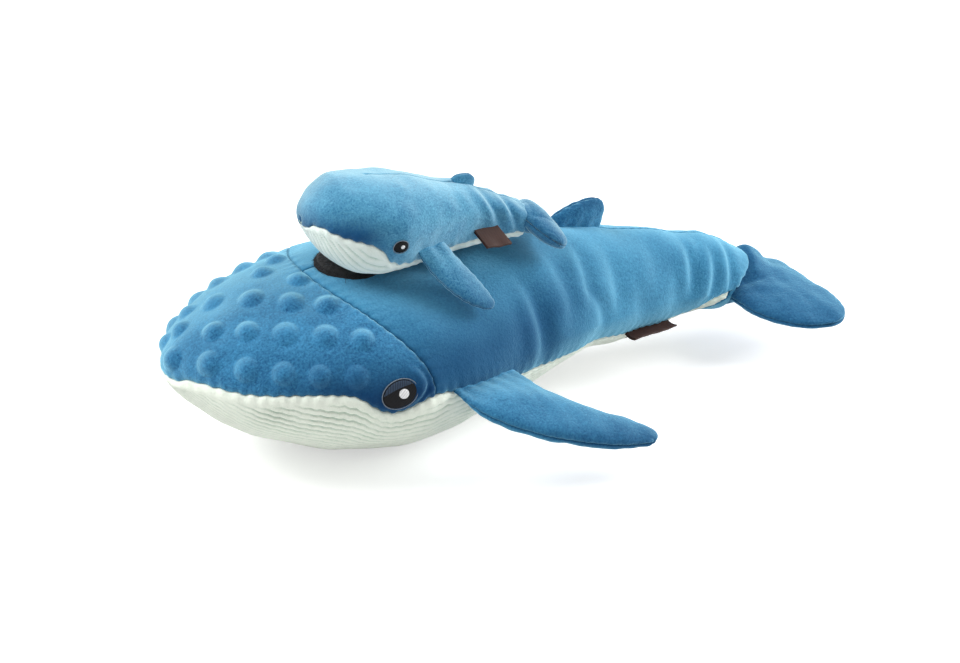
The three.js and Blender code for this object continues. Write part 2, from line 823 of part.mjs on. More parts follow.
const flukeFrame = new THREE.Matrix4().makeBasis(
  new THREE.Vector3(0, -1, 0),
  new THREE.Vector3(1, 0, 0),
  new THREE.Vector3(0, 0, 1),
).setPosition(flukeX, 0, flukeHeight);
const fluke = placedGroup(toy, flukeFrame);
const flukeNotch = boxSolid([flukeX - farAway, -flukeReach, -farAway], [flukeX, flukeReach, farAway])
  .add(creaseSolid(flukeX, flukeHeight, flukeReach));
addPanels(fluke, ['tail_fluke_upper', 'tail_fluke_lower', 'tail_fluke_padding'], {
  length: flukeHalfWidth,
  chord: flukeChord,
  middle: flukeMiddle,
  sweep: flukeSweep,
  drop: flukeDrop,
  thickness: flukeThickness,
  rootThickness: flukeRootThickness,
  blend: 0.6 * flukeHalfWidth,
  side: 1,
  swell: 0.1,
  bothWays: true,
  steps: 6,
}, inFrame(toGeometry(flukeNotch), flukeFrame), plushBlue, true);

// Mother's dorsal fin

const dorsalRoot = finFrame(
  bodyPoint(mother, dorsalFrontX, 0, -hingeStandOff),
  bodyPoint(mother, dorsalRearX, 0, -hingeStandOff),
  dorsalReach,
);
addPanels(placedGroup(toy, dorsalRoot.matrix), ['dorsal_fin_right', 'dorsal_fin_left'], {
  length: dorsalRoot.length,
  chord: dorsalRoot.rootChord,
  sweep: dorsalRoot.sweep,
  thickness: dorsalThickness,
  rootThickness: finRootThickness,
  blend: 0.5 * dorsalRoot.length,
  side: dorsalRoot.side,
  swell: 0,
  steps: 6,
}, clearOf(motherKeepOut, dorsalRoot.matrix, dorsalTurns, acrossRoot), plushBlue, false);

// Labels: a woven tape folded over, with its cut ends caught in the side seam.

function labelSolid(length, flap) {
  const gap = labelFoldGap;
  const half = gap / 2 + labelThickness;
  const root = -rootBury;
  const shape = new THREE.Shape();
  shape.moveTo(root, half);
  shape.lineTo(flap - half, half);
  shape.absarc(flap - half, 0, half, Math.PI / 2, -Math.PI / 2, true);
  shape.lineTo(root, -half);
  shape.lineTo(root, -gap / 2);
  shape.lineTo(flap - half, -gap / 2);
  shape.absarc(flap - half, 0, gap / 2, -Math.PI / 2, Math.PI / 2, false);
  shape.lineTo(root, gap / 2);
  const settings = { depth: length, bevelEnabled: false, curveSegments: 4 };
  const geometry = new THREE.ExtrudeGeometry(shape, settings);
  geometry.translate(0, 0, -length / 2);
  return toSolid(geometry);
}

function addLabel(parent, name, body, label, keepOut) {
  const seamPoint = (share) => {
    const x = label.x + share * label.length;
    return new THREE.Vector3(...bodyPoint(body, x, label.angle, -hingeStandOff));
  };
  const tilt = label.tilt * degree;
  const out = new THREE.Vector3(0, -Math.cos(tilt), -Math.sin(tilt));
  const along = seamPoint(0.5).sub(seamPoint(-0.5)).normalize();
  out.addScaledVector(along, -out.dot(along)).normalize();
  const face = along.clone().cross(out);
  const matrix = new THREE.Matrix4().makeBasis(out, face, along).setPosition(seamPoint(0));
  const cut = clearOf(keepOut, matrix, labelTurns, alongLabel);
  const solid = labelSolid(label.length, label.flap).subtract(cut);
  addMesh(placedGroup(parent, matrix), name, solid, labelBrown);
}

addLabel(toy, 'side_label', mother, {
  x: labelX,
  angle: labelAngle,
  length: labelLength,
  flap: labelFlap,
  tilt: labelTilt,
}, motherKeepOut);

// The calf lies on the patch with its hook side down, its tail swung a little to the left.

const calfFrame = new THREE.Matrix4().makeRotationZ(calfYaw * degree);
calfFrame.setPosition(calfNoseX, calfNoseY, 0);
const calfGroup = placedGroup(toy, calfFrame);
const calfLift = 3 * seamGap + 2 * patchThickness;
const calfSeat = inFrame(toGeometry(bodySolid(mother, -calfLift)), calfFrame);
const motherNearCalf = inFrame(toGeometry(bodySolid(mother, -2 * seamGap)), calfFrame);
const hookLift = 2 * seamGap + patchThickness;
const hookPlate = surfacePlate(mother, discPrism(hookPatchRadius), hookLift, patchThickness);
addMesh(calfGroup, 'calf_hook_patch', inFrame(toGeometry(hookPlate), calfFrame), patchBlack);

const calfNotch = boxSolid([calfFlukeX, -farAway, -farAway], [farAway, farAway, farAway])
  .add(creaseSolid(calfFlukeX, calfFlukeHeight, farAway));
const calfCut = calfNotch.add(calfSeat);
const calfSkin = bodySolid(calf, 0).subtract(bodySolid(calf, skin)).subtract(calfCut);

const calfDart = boxSolid(
  [calfDartX, -calfDartWidth / 2, calf.noseHeight - calfDartDrop],
  [farAway, calfDartWidth / 2, farAway],
);
const aboveCalfSeam = besideLine(seamCurve(calf, calfSeamLine, seamGap / 2), 1);
const belowCalfSeam = besideLine(seamCurve(calf, calfSeamLine, -seamGap / 2), -1);
const calfUpper = calfSkin.intersect(aboveCalfSeam).subtract(calfDart);
const calfLower = calfSkin.intersect(belowCalfSeam);
addMesh(calfGroup, 'calf_back_panel', calfUpper, plushBlue);
addMesh(calfGroup, 'calf_belly_panel', calfLower, corduroyMint);

const calfSqueakerFrame = squeakerFrame(calfStuffingJoinX, calfSqueakerCentreHeight);
const calfSeatInner = inFrame(toGeometry(bodySolid(mother, -calfLift - skin)), calfFrame);
const calfFilling = bodySolid(calf, skin + stuffingGap)
  .subtract(calfNotch.add(calfSeatInner))
  .subtract(squeakerPocket(calfSqueakerRadius, calfSqueakerHeight, calfSqueakerFrame));
const calfJoins = [-farAway, calfStuffingJoinX, farAway];
['calf_head_stuffing', 'calf_body_stuffing'].forEach((name, i) => {
  addMesh(calfGroup, name, fillingPart(calfFilling, calfJoins[i], calfJoins[i + 1]), fibrefill);
});
addSqueaker(calfGroup, 'calf_', calfSqueakerRadius, calfSqueakerHeight, calfSqueakerFrame);

addEye(calfGroup, calf, 'calf_', {
  x: calfEyeX,
  angle: calfEyeAngle,
  tilt: 0,
  length: calfEyeLength,
  height: calfEyeHeight,
  lid: false,
  spot: calfHighlightOffset,
  spotRadius: calfHighlightRadius,
});

const calfKeepOut = toGeometry(bodySolid(calf, -hingeGap).add(motherNearCalf));
const calfFins = [
  ['left', 1, calfFinReachLeft, calfFinTurnsLeft],
  ['right', -1, calfFinReachRight, calfFinTurnsRight],
];
for (const [name, mirror, reach, turns] of calfFins) {
  const root = finFrame(
    bodyPoint(calf, calfFinFrontX, mirror * calfFinAngle, -hingeStandOff),
    bodyPoint(calf, calfFinRearX, mirror * calfFinAngle, -hingeStandOff),
    reach,
  );
  const names = [`calf_fin_${name}_upper`, `calf_fin_${name}_lower`];
  addPanels(placedGroup(calfGroup, root.matrix), names, {
    length: root.length,
    chord: root.rootChord,
    sweep: root.sweep,
    thickness: calfFinThickness,
    rootThickness: finRootThickness,
    blend: 0.35 * root.length,
    side: root.side,
    swell: 0.1,
  }, clearOf(calfKeepOut, root.matrix, turns, acrossRoot), plushBlue, false);
}

const calfFlukeFrame = new THREE.Matrix4().makeRotationY(calfFlukePitch * degree)
  .multiply(new THREE.Matrix4().makeRotationZ(-Math.PI / 2))
  .setPosition(calfFlukeX, 0, calfFlukeHeight);
const calfFlukeKeepOut = boxSolid([-farAway, -farAway, -farAway], [calfFlukeX, farAway, farAway])
  .add(creaseSolid(calfFlukeX, calfFlukeHeight, farAway))
  .add(motherNearCalf);
addPanels(placedGroup(calfGroup, calfFlukeFrame), ['calf_fluke_upper', 'calf_fluke_lower'], {
  length: calfFlukeHalfWidth,
  chord: calfFlukeChord,
  middle: calfFlukeMiddle,
  sweep: calfFlukeSweep,
  drop: calfFlukeDrop,
  thickness: calfFlukeThickness,
  rootThickness: calfFlukeThickness,
  blend: 1,
  side: 1,
  swell: 0.1,
  bothWays: true,
  steps: 5,
}, inFrame(toGeometry(calfFlukeKeepOut), calfFlukeFrame), plushBlue, false);

const calfDorsalRoot = finFrame(
  bodyPoint(calf, calfDorsalFrontX, 0, -hingeStandOff),
  bodyPoint(calf, calfDorsalRearX, 0, -hingeStandOff),
  calfDorsalReach,
);
const calfDorsalGroup = placedGroup(calfGroup, calfDorsalRoot.matrix);
addPanels(calfDorsalGroup, ['calf_dorsal_fin_right', 'calf_dorsal_fin_left'], {
  length: calfDorsalRoot.length,
  chord: calfDorsalRoot.rootChord,
  sweep: calfDorsalRoot.sweep,
  thickness: calfDorsalThickness,
  rootThickness: finRootThickness,
  blend: 0.5 * calfDorsalRoot.length,
  side: calfDorsalRoot.side,
  swell: 0,
  steps: 4,
}, clearOf(calfKeepOut, calfDorsalRoot.matrix, dorsalTurns, acrossRoot), plushBlue, false);

addLabel(calfGroup, 'calf_side_label', calf, {
  x: calfLabelX,
  angle: calfLabelAngle,
  length: calfLabelLength,
  flap: calfLabelFlap,
  tilt: calfLabelTilt,
}, calfKeepOut);

// The middle of the rest face becomes the origin.
toy.position.set(-restMiddleX, 0, -restHeight);

export default toy;
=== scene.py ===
import math

import bpy
import numpy as np
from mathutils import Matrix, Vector


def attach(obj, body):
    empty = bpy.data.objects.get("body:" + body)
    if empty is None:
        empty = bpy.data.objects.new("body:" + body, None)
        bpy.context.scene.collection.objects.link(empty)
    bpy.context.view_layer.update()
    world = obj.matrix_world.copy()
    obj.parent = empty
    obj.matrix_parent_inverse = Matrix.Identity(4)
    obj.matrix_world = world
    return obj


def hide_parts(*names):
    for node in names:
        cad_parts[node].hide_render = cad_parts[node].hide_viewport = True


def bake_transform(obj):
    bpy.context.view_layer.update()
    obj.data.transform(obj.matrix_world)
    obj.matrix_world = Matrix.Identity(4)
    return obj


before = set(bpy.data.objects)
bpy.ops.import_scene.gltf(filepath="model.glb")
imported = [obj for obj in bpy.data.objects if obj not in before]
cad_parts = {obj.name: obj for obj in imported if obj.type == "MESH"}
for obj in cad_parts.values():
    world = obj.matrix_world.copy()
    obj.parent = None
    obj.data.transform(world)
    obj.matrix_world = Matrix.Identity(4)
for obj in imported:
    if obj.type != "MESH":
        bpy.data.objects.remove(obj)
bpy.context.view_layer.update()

# Lengths are millimetres and angles degrees in the toy's own pattern frame: nose towards -X, the
# near side towards -Y and the floor just above zero. placed() moves a point into the scene's frame.

MM = 0.001
FLOOR_CUT = 0.5
REST_MIDDLE_X = -40.0

# A bump is its x, its spread along x and its rise; the nose lift is its rise and its reach.

MOTHER = dict(
    nose_x=-195, end_x=215, half_width=90, widest_x=-68, nose_width_power=1.72,
    tail_half_width=20, tail_width_power=0.68, top=115, top_x=-66, nose_top_power=2.1,
    tail_top=52, tail_top_power=1.6, nose_height=60, bottom=0, bottom_front_x=-72,
    nose_bottom_power=1.45, bottom_rear_x=-12, tail_bottom=26, tail_bottom_power=1.14,
    lower_squareness=2.05, tail_squareness=1.6, top_bumps=[(180, 30, 10.3), (135, 25, 4.0)],
    bottom_bumps=[(188, 14, -3.0), (74, 38, 10.5), (161, 20, 6.5)], nose_lift=(6.0, 42.0),
)
CALF = dict(
    nose_x=0, end_x=147.5, half_width=37, widest_x=51, nose_width_power=2.05,
    tail_half_width=11, tail_width_power=0.64, top=170.5, top_x=22, nose_top_power=1.6,
    tail_top=137.5, tail_top_power=1.12, nose_height=145, bottom=117.5, bottom_front_x=36,
    nose_bottom_power=1.85, bottom_rear_x=70, tail_bottom=121, tail_bottom_power=1.5,
    lower_squareness=2.6, tail_squareness=2.2, top_bumps=[(103, 14, 3.0), (142, 12, -3.5)],
    bottom_bumps=[], nose_lift=(5.0, 22.0),
)
EYE_X = -86.7
EYE_ANGLE = 84.0

# The height of the side seams at each x

MOTHER_SEAM = [
    (-205, 65.5), (-194.5, 65.5), (-189.5, 68.7), (-183, 69.6), (-164, 67.8), (-142, 68.4),
    (-122, 68.2), (-110, 65.8), (-98, 56.2), (-89, 52.8), (-79, 55.2), (-70, 58.5), (-60, 59),
    (-46, 56), (1, 44), (40, 39.8), (76, 37.6), (102, 33.5), (121, 31.8), (135, 30.6), (150, 30.6),
    (160, 33.5), (170, 38.5), (182, 41), (225, 42),
]
CALF_SEAM = [
    (-6, 142), (0.4, 143), (2.5, 147.5), (6, 148), (14, 144.5), (20, 142.4), (27.5, 140.2),
    (36.5, 136), (43.5, 129.5), (51.5, 127.5), (80, 127.5), (117.5, 127), (152.5, 125.5),
]

# Where the seams, the calf and the flukes lie

HEAD_SEAM_SPINE_X = -106
HEAD_SEAM_SIDE_X = -64
CALF_NOSE = (-109, -8)
CALF_YAW = -5.25
FLUKE_X = 205
FLUKE_HEIGHT = 39
CALF_FLUKE_X = 140
CALF_FLUKE_HEIGHT = 129

# Camera

CAMERA_AZIMUTH = -29
CAMERA_ELEVATION = 26
CAMERA_DISTANCE = 1.3
CAMERA_TARGET = (0.053, 0.0, 0.0433)
CAMERA_LENS = 78.4


def add_camera():
    """The camera stands off its target along its azimuth and elevation and looks back at it."""
    data = bpy.data.cameras.new("camera")
    data.lens = CAMERA_LENS
    data.sensor_width = 36
    data.clip_end = 50
    camera = bpy.data.objects.new("camera", data)
    bpy.context.scene.collection.objects.link(camera)
    a, e = math.radians(CAMERA_AZIMUTH), math.radians(CAMERA_ELEVATION)
    back = Vector((math.sin(a) * math.cos(e), -math.cos(a) * math.cos(e), math.sin(e)))
    camera.location = Vector(CAMERA_TARGET) + CAMERA_DISTANCE * back
    camera.rotation_mode = "QUATERNION"
    camera.rotation_quaternion = (-back).to_track_quat("-Z", "Y")
    bpy.context.scene.camera = camera


add_camera()

# Node helpers


def dye(code):
    """A colour written as six hexadecimal digits, as linear red, green, blue and alpha."""
    parts = [int(code[i:i + 2], 16) / 255 for i in (0, 2, 4)]
    line = [c / 12.92 if c <= 0.04045 else ((c + 0.055) / 1.055) ** 2.4 for c in parts]
    return (*line, 1.0)


def node(tree, kind, values=None, **settings):
    """A node with its settings, and values or links on its inputs by name or number."""
    made = tree.nodes.new(kind)
    for name, value in settings.items():
        setattr(made, name, value)
    for name, value in (values or {}).items():
        if isinstance(value, bpy.types.NodeSocket):
            tree.links.new(value, made.inputs[name])
        else:
            made.inputs[name].default_value = value
    return made


def maths(tree, operation, first, second=0.0, third=0.0, clamp=False):
    """One step of arithmetic on values or links."""
    values = {0: first, 1: second, 2: third}
    return node(tree, "ShaderNodeMath", values, operation=operation, use_clamp=clamp).outputs[0]


def mixed(tree, share, first, second):
    """Colour between first and second by share."""
    made = node(tree, "ShaderNodeMix", {0: share, 6: first, 7: second}, data_type="RGBA")
    return made.outputs[2]


def eased(tree, value, low, high):
    """0 below low, 1 above high and a smooth step between."""
    made = node(tree, "ShaderNodeMapRange", {0: value, 1: low, 2: high}, interpolation_type="SMOOTHSTEP")
    return made.outputs[0]


def noise(tree, place, scale, detail=2.0, roughness=0.5, distortion=0.0):
    """Fractal noise over the place, from about 0 to 1."""
    values = {"Vector": place, "Scale": scale, "Detail": detail, "Roughness": roughness,
              "Distortion": distortion}
    return node(tree, "ShaderNodeTexNoise", values).outputs[0]


def less_half(tree, value):
    """The value less a half, so that noise swings about zero."""
    return maths(tree, "SUBTRACT", value, 0.5)


def times(tree, vector, by):
    """A vector or colour multiplied, part by part, by three numbers."""
    return node(tree, "ShaderNodeVectorMath", {0: vector, 1: by}, operation="MULTIPLY").outputs[0]


def mark(tree, name):
    """The piece's own attribute of that name, 0 on a piece without it."""
    return node(tree, "ShaderNodeAttribute", attribute_name=name).outputs["Fac"]


def effect(name, inputs, outputs):
    """An empty node group with the named inputs and outputs."""
    tree = bpy.data.node_groups.new(name, "ShaderNodeTree")
    for label, kind, value in inputs:
        socket = tree.interface.new_socket(label, in_out="INPUT", socket_type=kind)
        socket.default_value = value
    for label, kind in outputs:
        tree.interface.new_socket(label, in_out="OUTPUT", socket_type=kind)
    return tree, tree.nodes.new("NodeGroupInput").outputs, tree.nodes.new("NodeGroupOutput").inputs


COLOUR = "NodeSocketColor"
VALUE = "NodeSocketFloat"

# What the dark tone keeps of its red, green and blue where shade is painted: on the parts marked
# painted_shade, and in the seams

PAINTED_SHADE_KEEPS = (0.22, 0.42, 0.58)
SEAM_SHADE_KEEPS = (0.35, 0.35, 0.4)


def plush_nap():
    """Short pile: broad lighter and darker fields, tufts and single fibres.

    It is darker where shade is painted, from the piece's attributes: in the seams' grooves, and on the low
    and shaded parts marked painted_shade.
    """
    tree, given, out = effect("plush nap", [
        ("Light", COLOUR, dye("63A9CC")), ("Dark", COLOUR, dye("2A6A97")),
        ("Fibres", VALUE, 720.0), ("Tufts", VALUE, 300.0), ("Fields", VALUE, 28.0),
        ("Contrast", VALUE, 1.0),
    ], [("Colour", COLOUR), ("Height", VALUE)])
    place = node(tree, "ShaderNodeTexCoord").outputs["Object"]
    along = times(tree, place, (0.62, 1.0, 1.0))
    fields = eased(tree, noise(tree, along, given["Fields"], 2.5, 0.55, 0.8), 0.36, 0.64)
    tufts = noise(tree, along, given["Tufts"], 3.0, 0.6, 0.4)
    fibres = noise(tree, place, given["Fibres"], 2.0, 0.7)
    clumps = less_half(tree, tufts)
    share = maths(tree, "MULTIPLY_ADD", fields, 0.22, 0.39)
    share = maths(tree, "MULTIPLY_ADD", clumps, 0.42, share)
    share = maths(tree, "MULTIPLY_ADD", less_half(tree, fibres), 1.7, share)
    share = maths(tree, "MULTIPLY_ADD", less_half(tree, share), given["Contrast"], 0.5, clamp=True)
    colour = mixed(tree, share, given["Dark"], given["Light"])
    # painted shade: a darker copy of the dark tone on the parts marked painted_shade
    away = times(tree, given["Dark"], PAINTED_SHADE_KEEPS)
    colour = mixed(tree, mark(tree, "painted_shade"), colour, away)
    # painted shade: the seams' grooves take a darker copy of the dark tone
    shade = maths(tree, "MULTIPLY", mark(tree, "groove_shade"), 0.9, clamp=True)
    deep = times(tree, given["Dark"], SEAM_SHADE_KEEPS)
    tree.links.new(mixed(tree, shade, colour, deep), out["Colour"])
    tree.links.new(maths(tree, "MULTIPLY_ADD", clumps, 1.4, fibres), out["Height"])
    return tree


def cord_wales():
    """Ribbed pile: pale ridges, and valleys of the ground cloth between the wales darkened grey green by
    painted shade from the piece's groove_shade attribute; fine fibres.
    """
    tree, given, out = effect("cord wales", [
        ("Ridge", COLOUR, dye("F1F8EB")), ("Shaded valley", COLOUR, dye("A9C4B0")),
        ("Fibres", VALUE, 1700.0), ("Fields", VALUE, 40.0),
    ], [("Colour", COLOUR), ("Height", VALUE)])
    place = node(tree, "ShaderNodeTexCoord").outputs["Object"]
    fibres = noise(tree, place, given["Fibres"], 2.0, 0.7)
    fields = noise(tree, place, given["Fields"], 2.0, 0.5, 0.5)
    tufts = noise(tree, place, 520.0, 2.0, 0.6)
    # painted shade in the rib valleys
    groove_shade = mark(tree, "groove_shade")
    share = maths(tree, "MULTIPLY_ADD", less_half(tree, fibres), 0.45, groove_shade)
    share = maths(tree, "MULTIPLY_ADD", less_half(tree, fields), 0.5, share)
    share = maths(tree, "MULTIPLY_ADD", less_half(tree, tufts), 0.4, share, clamp=True)
    tree.links.new(mixed(tree, share, given["Ridge"], given["Shaded valley"]), out["Colour"])
    tree.links.new(maths(tree, "MULTIPLY_ADD", tufts, 0.8, fibres), out["Height"])
    return tree


def thread_rows():
    """Satin stitches: fine parallel threads along the piece's first stitch direction."""
    tree, given, out = effect("thread rows", [
        ("Thread", COLOUR, dye("16181B")), ("Gap", COLOUR, dye("060708")), ("Threads", VALUE, 2400.0),
    ], [("Colour", COLOUR), ("Height", VALUE)])
    place = node(tree, "ShaderNodeUVMap", uv_map="stitch").outputs[0]
    apart = node(tree, "ShaderNodeSeparateXYZ", {0: place}).outputs
    wobble = noise(tree, place, 240.0, 2.0)
    turn = maths(tree, "MULTIPLY", apart[1], given["Threads"])
    turn = maths(tree, "MULTIPLY_ADD", wobble, 1.6, turn)
    wave = maths(tree, "ABSOLUTE", maths(tree, "SINE", turn))
    grain = noise(tree, place, 1400.0, 2.0)
    share = maths(tree, "MULTIPLY_ADD", less_half(tree, grain), 0.5, wave, clamp=True)
    tree.links.new(mixed(tree, share, given["Gap"], given["Thread"]), out["Colour"])
    tree.links.new(share, out["Height"])
    return tree


def tape_weave():
    """Woven tape: warp and weft over and under each other, with a slightly uneven yarn."""
    tree, given, out = effect("tape weave", [
        ("Warp", COLOUR, dye("3C211A")), ("Weft", COLOUR, dye("27130E")), ("Yarns", VALUE, 5200.0),
    ], [("Colour", COLOUR), ("Height", VALUE)])
    place = node(tree, "ShaderNodeUVMap", uv_map="stitch").outputs[0]
    apart = node(tree, "ShaderNodeSeparateXYZ", {0: place}).outputs
    across = maths(tree, "SINE", maths(tree, "MULTIPLY", apart[0], given["Yarns"]))
    along = maths(tree, "SINE", maths(tree, "MULTIPLY", apart[1], given["Yarns"]))
    over = maths(tree, "MULTIPLY_ADD", maths(tree, "MULTIPLY", across, along), 0.5, 0.5)
    uneven = noise(tree, place, 700.0, 3.0)
    share = maths(tree, "MULTIPLY_ADD", less_half(tree, uneven), 0.8, over, clamp=True)
    tree.links.new(mixed(tree, share, given["Weft"], given["Warp"]), out["Colour"])
    tree.links.new(over, out["Height"])
    return tree


def loose_fibres():
    """Tangled fibres: fine curls of lighter and darker strands."""
    tree, given, out = effect("loose fibres", [
        ("Light", COLOUR, dye("2B2B2C")), ("Dark", COLOUR, dye("070708")), ("Curls", VALUE, 900.0),
    ], [("Colour", COLOUR), ("Height", VALUE)])
    place = node(tree, "ShaderNodeTexCoord").outputs["Object"]
    curls = noise(tree, place, given["Curls"], 4.0, 0.65, 1.8)
    strands = maths(tree, "ABSOLUTE", less_half(tree, curls))
    share = eased(tree, strands, 0.16, 0.0)
    tree.links.new(mixed(tree, share, given["Dark"], given["Light"]), out["Colour"])
    tree.links.new(share, out["Height"])
    return tree


NAP = plush_nap()
WALES = cord_wales()
THREADS = thread_rows()
WEAVE = tape_weave()
FIBRES = loose_fibres()


def finish_of(name, group, values, relief, roughness, sheen=0.0, sheen_roughness=0.5,
              tint="FFFFFF", specular=0.3, rim=0.0):
    """A material whose colour and relief come from an effect group with this piece's values.

    The base colour takes painted sheen: the tint is mixed in where the surface is seen edge on, at a
    share of rim (1 - facing)^1.6, less in the painted seam shade and on the parts marked painted_shade.
    """
    material = bpy.data.materials.new(name)
    material.use_nodes = True
    tree = material.node_tree
    shader = tree.nodes["Principled BSDF"]
    surface = node(tree, "ShaderNodeGroup", None, node_tree=group)
    for label, value in values.items():
        surface.inputs[label].default_value = value
    bump = node(tree, "ShaderNodeBump", {"Height": surface.outputs["Height"], "Strength": 1.0,
                                         "Distance": relief * MM})
    colour = surface.outputs["Colour"]
    # painted sheen: a paler base colour where the surface is seen edge on
    if rim:
        aside = node(tree, "ShaderNodeLayerWeight", {"Blend": 0.5}).outputs["Facing"]
        share = maths(tree, "MULTIPLY", maths(tree, "POWER", aside, 1.6), rim)
        hidden = maths(tree, "MULTIPLY_ADD", mark(tree, "painted_shade"), 0.85, mark(tree, "groove_shade"))
        share = maths(tree, "MULTIPLY", share, maths(tree, "SUBTRACT", 1.0, hidden, clamp=True))
        colour = mixed(tree, share, colour, dye(tint))
    tree.links.new(colour, shader.inputs["Base Color"])
    tree.links.new(bump.outputs[0], shader.inputs["Normal"])
    shader.inputs["Roughness"].default_value = roughness
    shader.inputs["Specular IOR Level"].default_value = specular
    shader.inputs["Sheen Weight"].default_value = sheen
    shader.inputs["Sheen Roughness"].default_value = sheen_roughness
    shader.inputs["Sheen Tint"].default_value = dye(tint)
    return material


# Finishes of the cloths, threads, tapes and inner pieces

PILE = dict(roughness=0.85, sheen=1.0, sheen_roughness=0.35, specular=0.1)
# The pale blue of the shader's sheen, and of the painted sheen mixed into the base colour
SHEEN_TINT = "98D6EC"
HEAD_PLUSH = finish_of("head plush", NAP, {
    "Light": dye("4693C1"), "Dark": dye("1B527E"), "Fields": 42.0, "Tufts": 380.0, "Contrast": 0.95,
}, relief=0.5, tint=SHEEN_TINT, rim=0.85, **PILE)
BACK_PLUSH = finish_of("back plush", NAP, {
    "Light": dye("4C99BF"), "Dark": dye("205F8A"), "Fields": 24.0, "Contrast": 0.7,
}, relief=0.35, tint=SHEEN_TINT, rim=0.6, **PILE)
FIN_PLUSH = finish_of("fin plush", NAP, {
    "Light": dye("4894BE"), "Dark": dye("1A537F"), "Fields": 30.0, "Contrast": 0.9,
}, relief=0.45, tint=SHEEN_TINT, rim=0.5, **PILE)
CALF_PLUSH = finish_of("calf plush", NAP, {
    "Light": dye("64AECF"), "Dark": dye("236895"), "Fields": 46.0, "Fibres": 900.0, "Tufts": 420.0,
}, relief=0.35, tint="C6EBF3", rim=0.6, **PILE)
RIBBED = dict(roughness=0.9, sheen=0.25, specular=0.1)
MINT_CORD = finish_of("mint cord", WALES, {}, relief=0.3, **RIBBED)
CALF_MINT_CORD = finish_of("calf mint cord", WALES, {
    "Ridge": dye("EDF8F1"), "Shaded valley": dye("A4C4B6"), "Fibres": 2000.0,
}, relief=0.25, **RIBBED)
BLACK_THREAD = finish_of("black eye thread", THREADS, {
    "Thread": dye("0D0E11"), "Gap": dye("040506"),
}, relief=0.12, roughness=0.7, specular=0.2)
LID_THREAD = finish_of("slate lid thread", THREADS, {
    "Thread": dye("37465A"), "Gap": dye("1B2430"),
}, relief=0.12, roughness=0.7, specular=0.2)
SILVER_THREAD = finish_of("silver thread", THREADS, {
    "Thread": dye("FAFAFA"), "Gap": dye("D0D3D6"),
}, relief=0.12, roughness=0.4, specular=0.5)
RING_THREAD = finish_of("grey ring thread", THREADS, {
    "Thread": dye("7F8D9B"), "Gap": dye("46525F"), "Threads": 3600.0,
}, relief=0.15, roughness=0.4, specular=0.5)
BLACK_LOOP = finish_of("black loop pile", FIBRES, {}, relief=0.6, roughness=0.9, sheen=0.25,
                       sheen_roughness=0.4, tint="8A8A8C", specular=0.2)
BLACK_HOOK = finish_of("black hook pile", FIBRES, {
    "Light": dye("1E1E20"), "Curls": 1500.0,
}, relief=0.4, roughness=0.6, sheen=0.1, sheen_roughness=0.4, tint="8A8A8C", specular=0.35)
BROWN_RIBBON = finish_of("brown ribbon", WEAVE, {}, relief=0.12, roughness=0.65, sheen=0.1,
                         tint="D9B8A0")
WHITE_FILL = finish_of("white filling", FIBRES, {
    "Light": dye("F2F2EE"), "Dark": dye("C9C9C2"), "Curls": 260.0,
}, relief=1.2, roughness=0.95, sheen=0.3, specular=0.1)
BULB_PLASTIC = finish_of("squeaker bulb", NAP, {
    "Light": dye("F1EFE6"), "Dark": dye("DAD7CB"), "Fields": 40.0, "Tufts": 900.0,
}, relief=0.05, roughness=0.35, specular=0.5)
REED_PLASTIC = finish_of("squeaker reed", NAP, {
    "Light": dye("ECEBE6"), "Dark": dye("CFCDC4"), "Fields": 90.0, "Tufts": 1500.0,
}, relief=0.03, roughness=0.3, specular=0.5)

# Surfaces of the two stuffed bodies


def unit(vectors):
    """Vectors divided by their own lengths."""
    length = np.linalg.norm(vectors, axis=-1, keepdims=True)
    return vectors / np.maximum(length, 1e-12)


def clipped(values):
    """Values held between 0 and 1."""
    return np.clip(values, 0, 1)


def points_at(x, y, z):
    """Points with these coordinates, each carried over the whole grid."""
    return np.stack(np.broadcast_arrays(x, y, z), axis=-1)


def blunt_rise(share, power):
    """From 0 to 1: (1 - (1 - share)^power)^(1/power)."""
    return (1 - (1 - clipped(share)) ** power) ** (1 / power)


def soft_fall(share, power):
    """From 1 to 0: the squared cosine of a quarter turn times share^power."""
    return np.cos(np.pi / 2 * clipped(share) ** power) ** 2


def soft_step(share):
    """From 0 to 1 along 3 s^2 - 2 s^3."""
    s = clipped(share)
    return s * s * (3 - 2 * s)


def near_start(u, a):
    """Shares from 0 to 1 that are close together at the start: (1 + a) u^2 / (u + a)."""
    return (1 + a) * u * u / (u + a)


def through(x, knots):
    """A smooth line through knots of x and height: a cubic between each two, with even slopes."""
    kx, kz = (np.array(k, float) for k in zip(*knots))
    slope = np.gradient(kz, kx)
    slope[1:-1] = (kz[2:] - kz[:-2]) / (kx[2:] - kx[:-2])
    i = np.clip(np.searchsorted(kx, x) - 1, 0, len(kx) - 2)
    width = kx[i + 1] - kx[i]
    t = (x - kx[i]) / width
    return (kz[i] * (1 + 2 * t) * (1 - t) ** 2 + kz[i + 1] * t * t * (3 - 2 * t)
            + slope[i] * width * t * (1 - t) ** 2 - slope[i + 1] * width * t * t * (1 - t))


def bumped(x, bumps):
    """The sum of the bumps at x: rise times e^-((x - at) / spread)^2."""
    return sum(rise * np.exp(-((x - at) / spread) ** 2) for at, spread, rise in bumps)


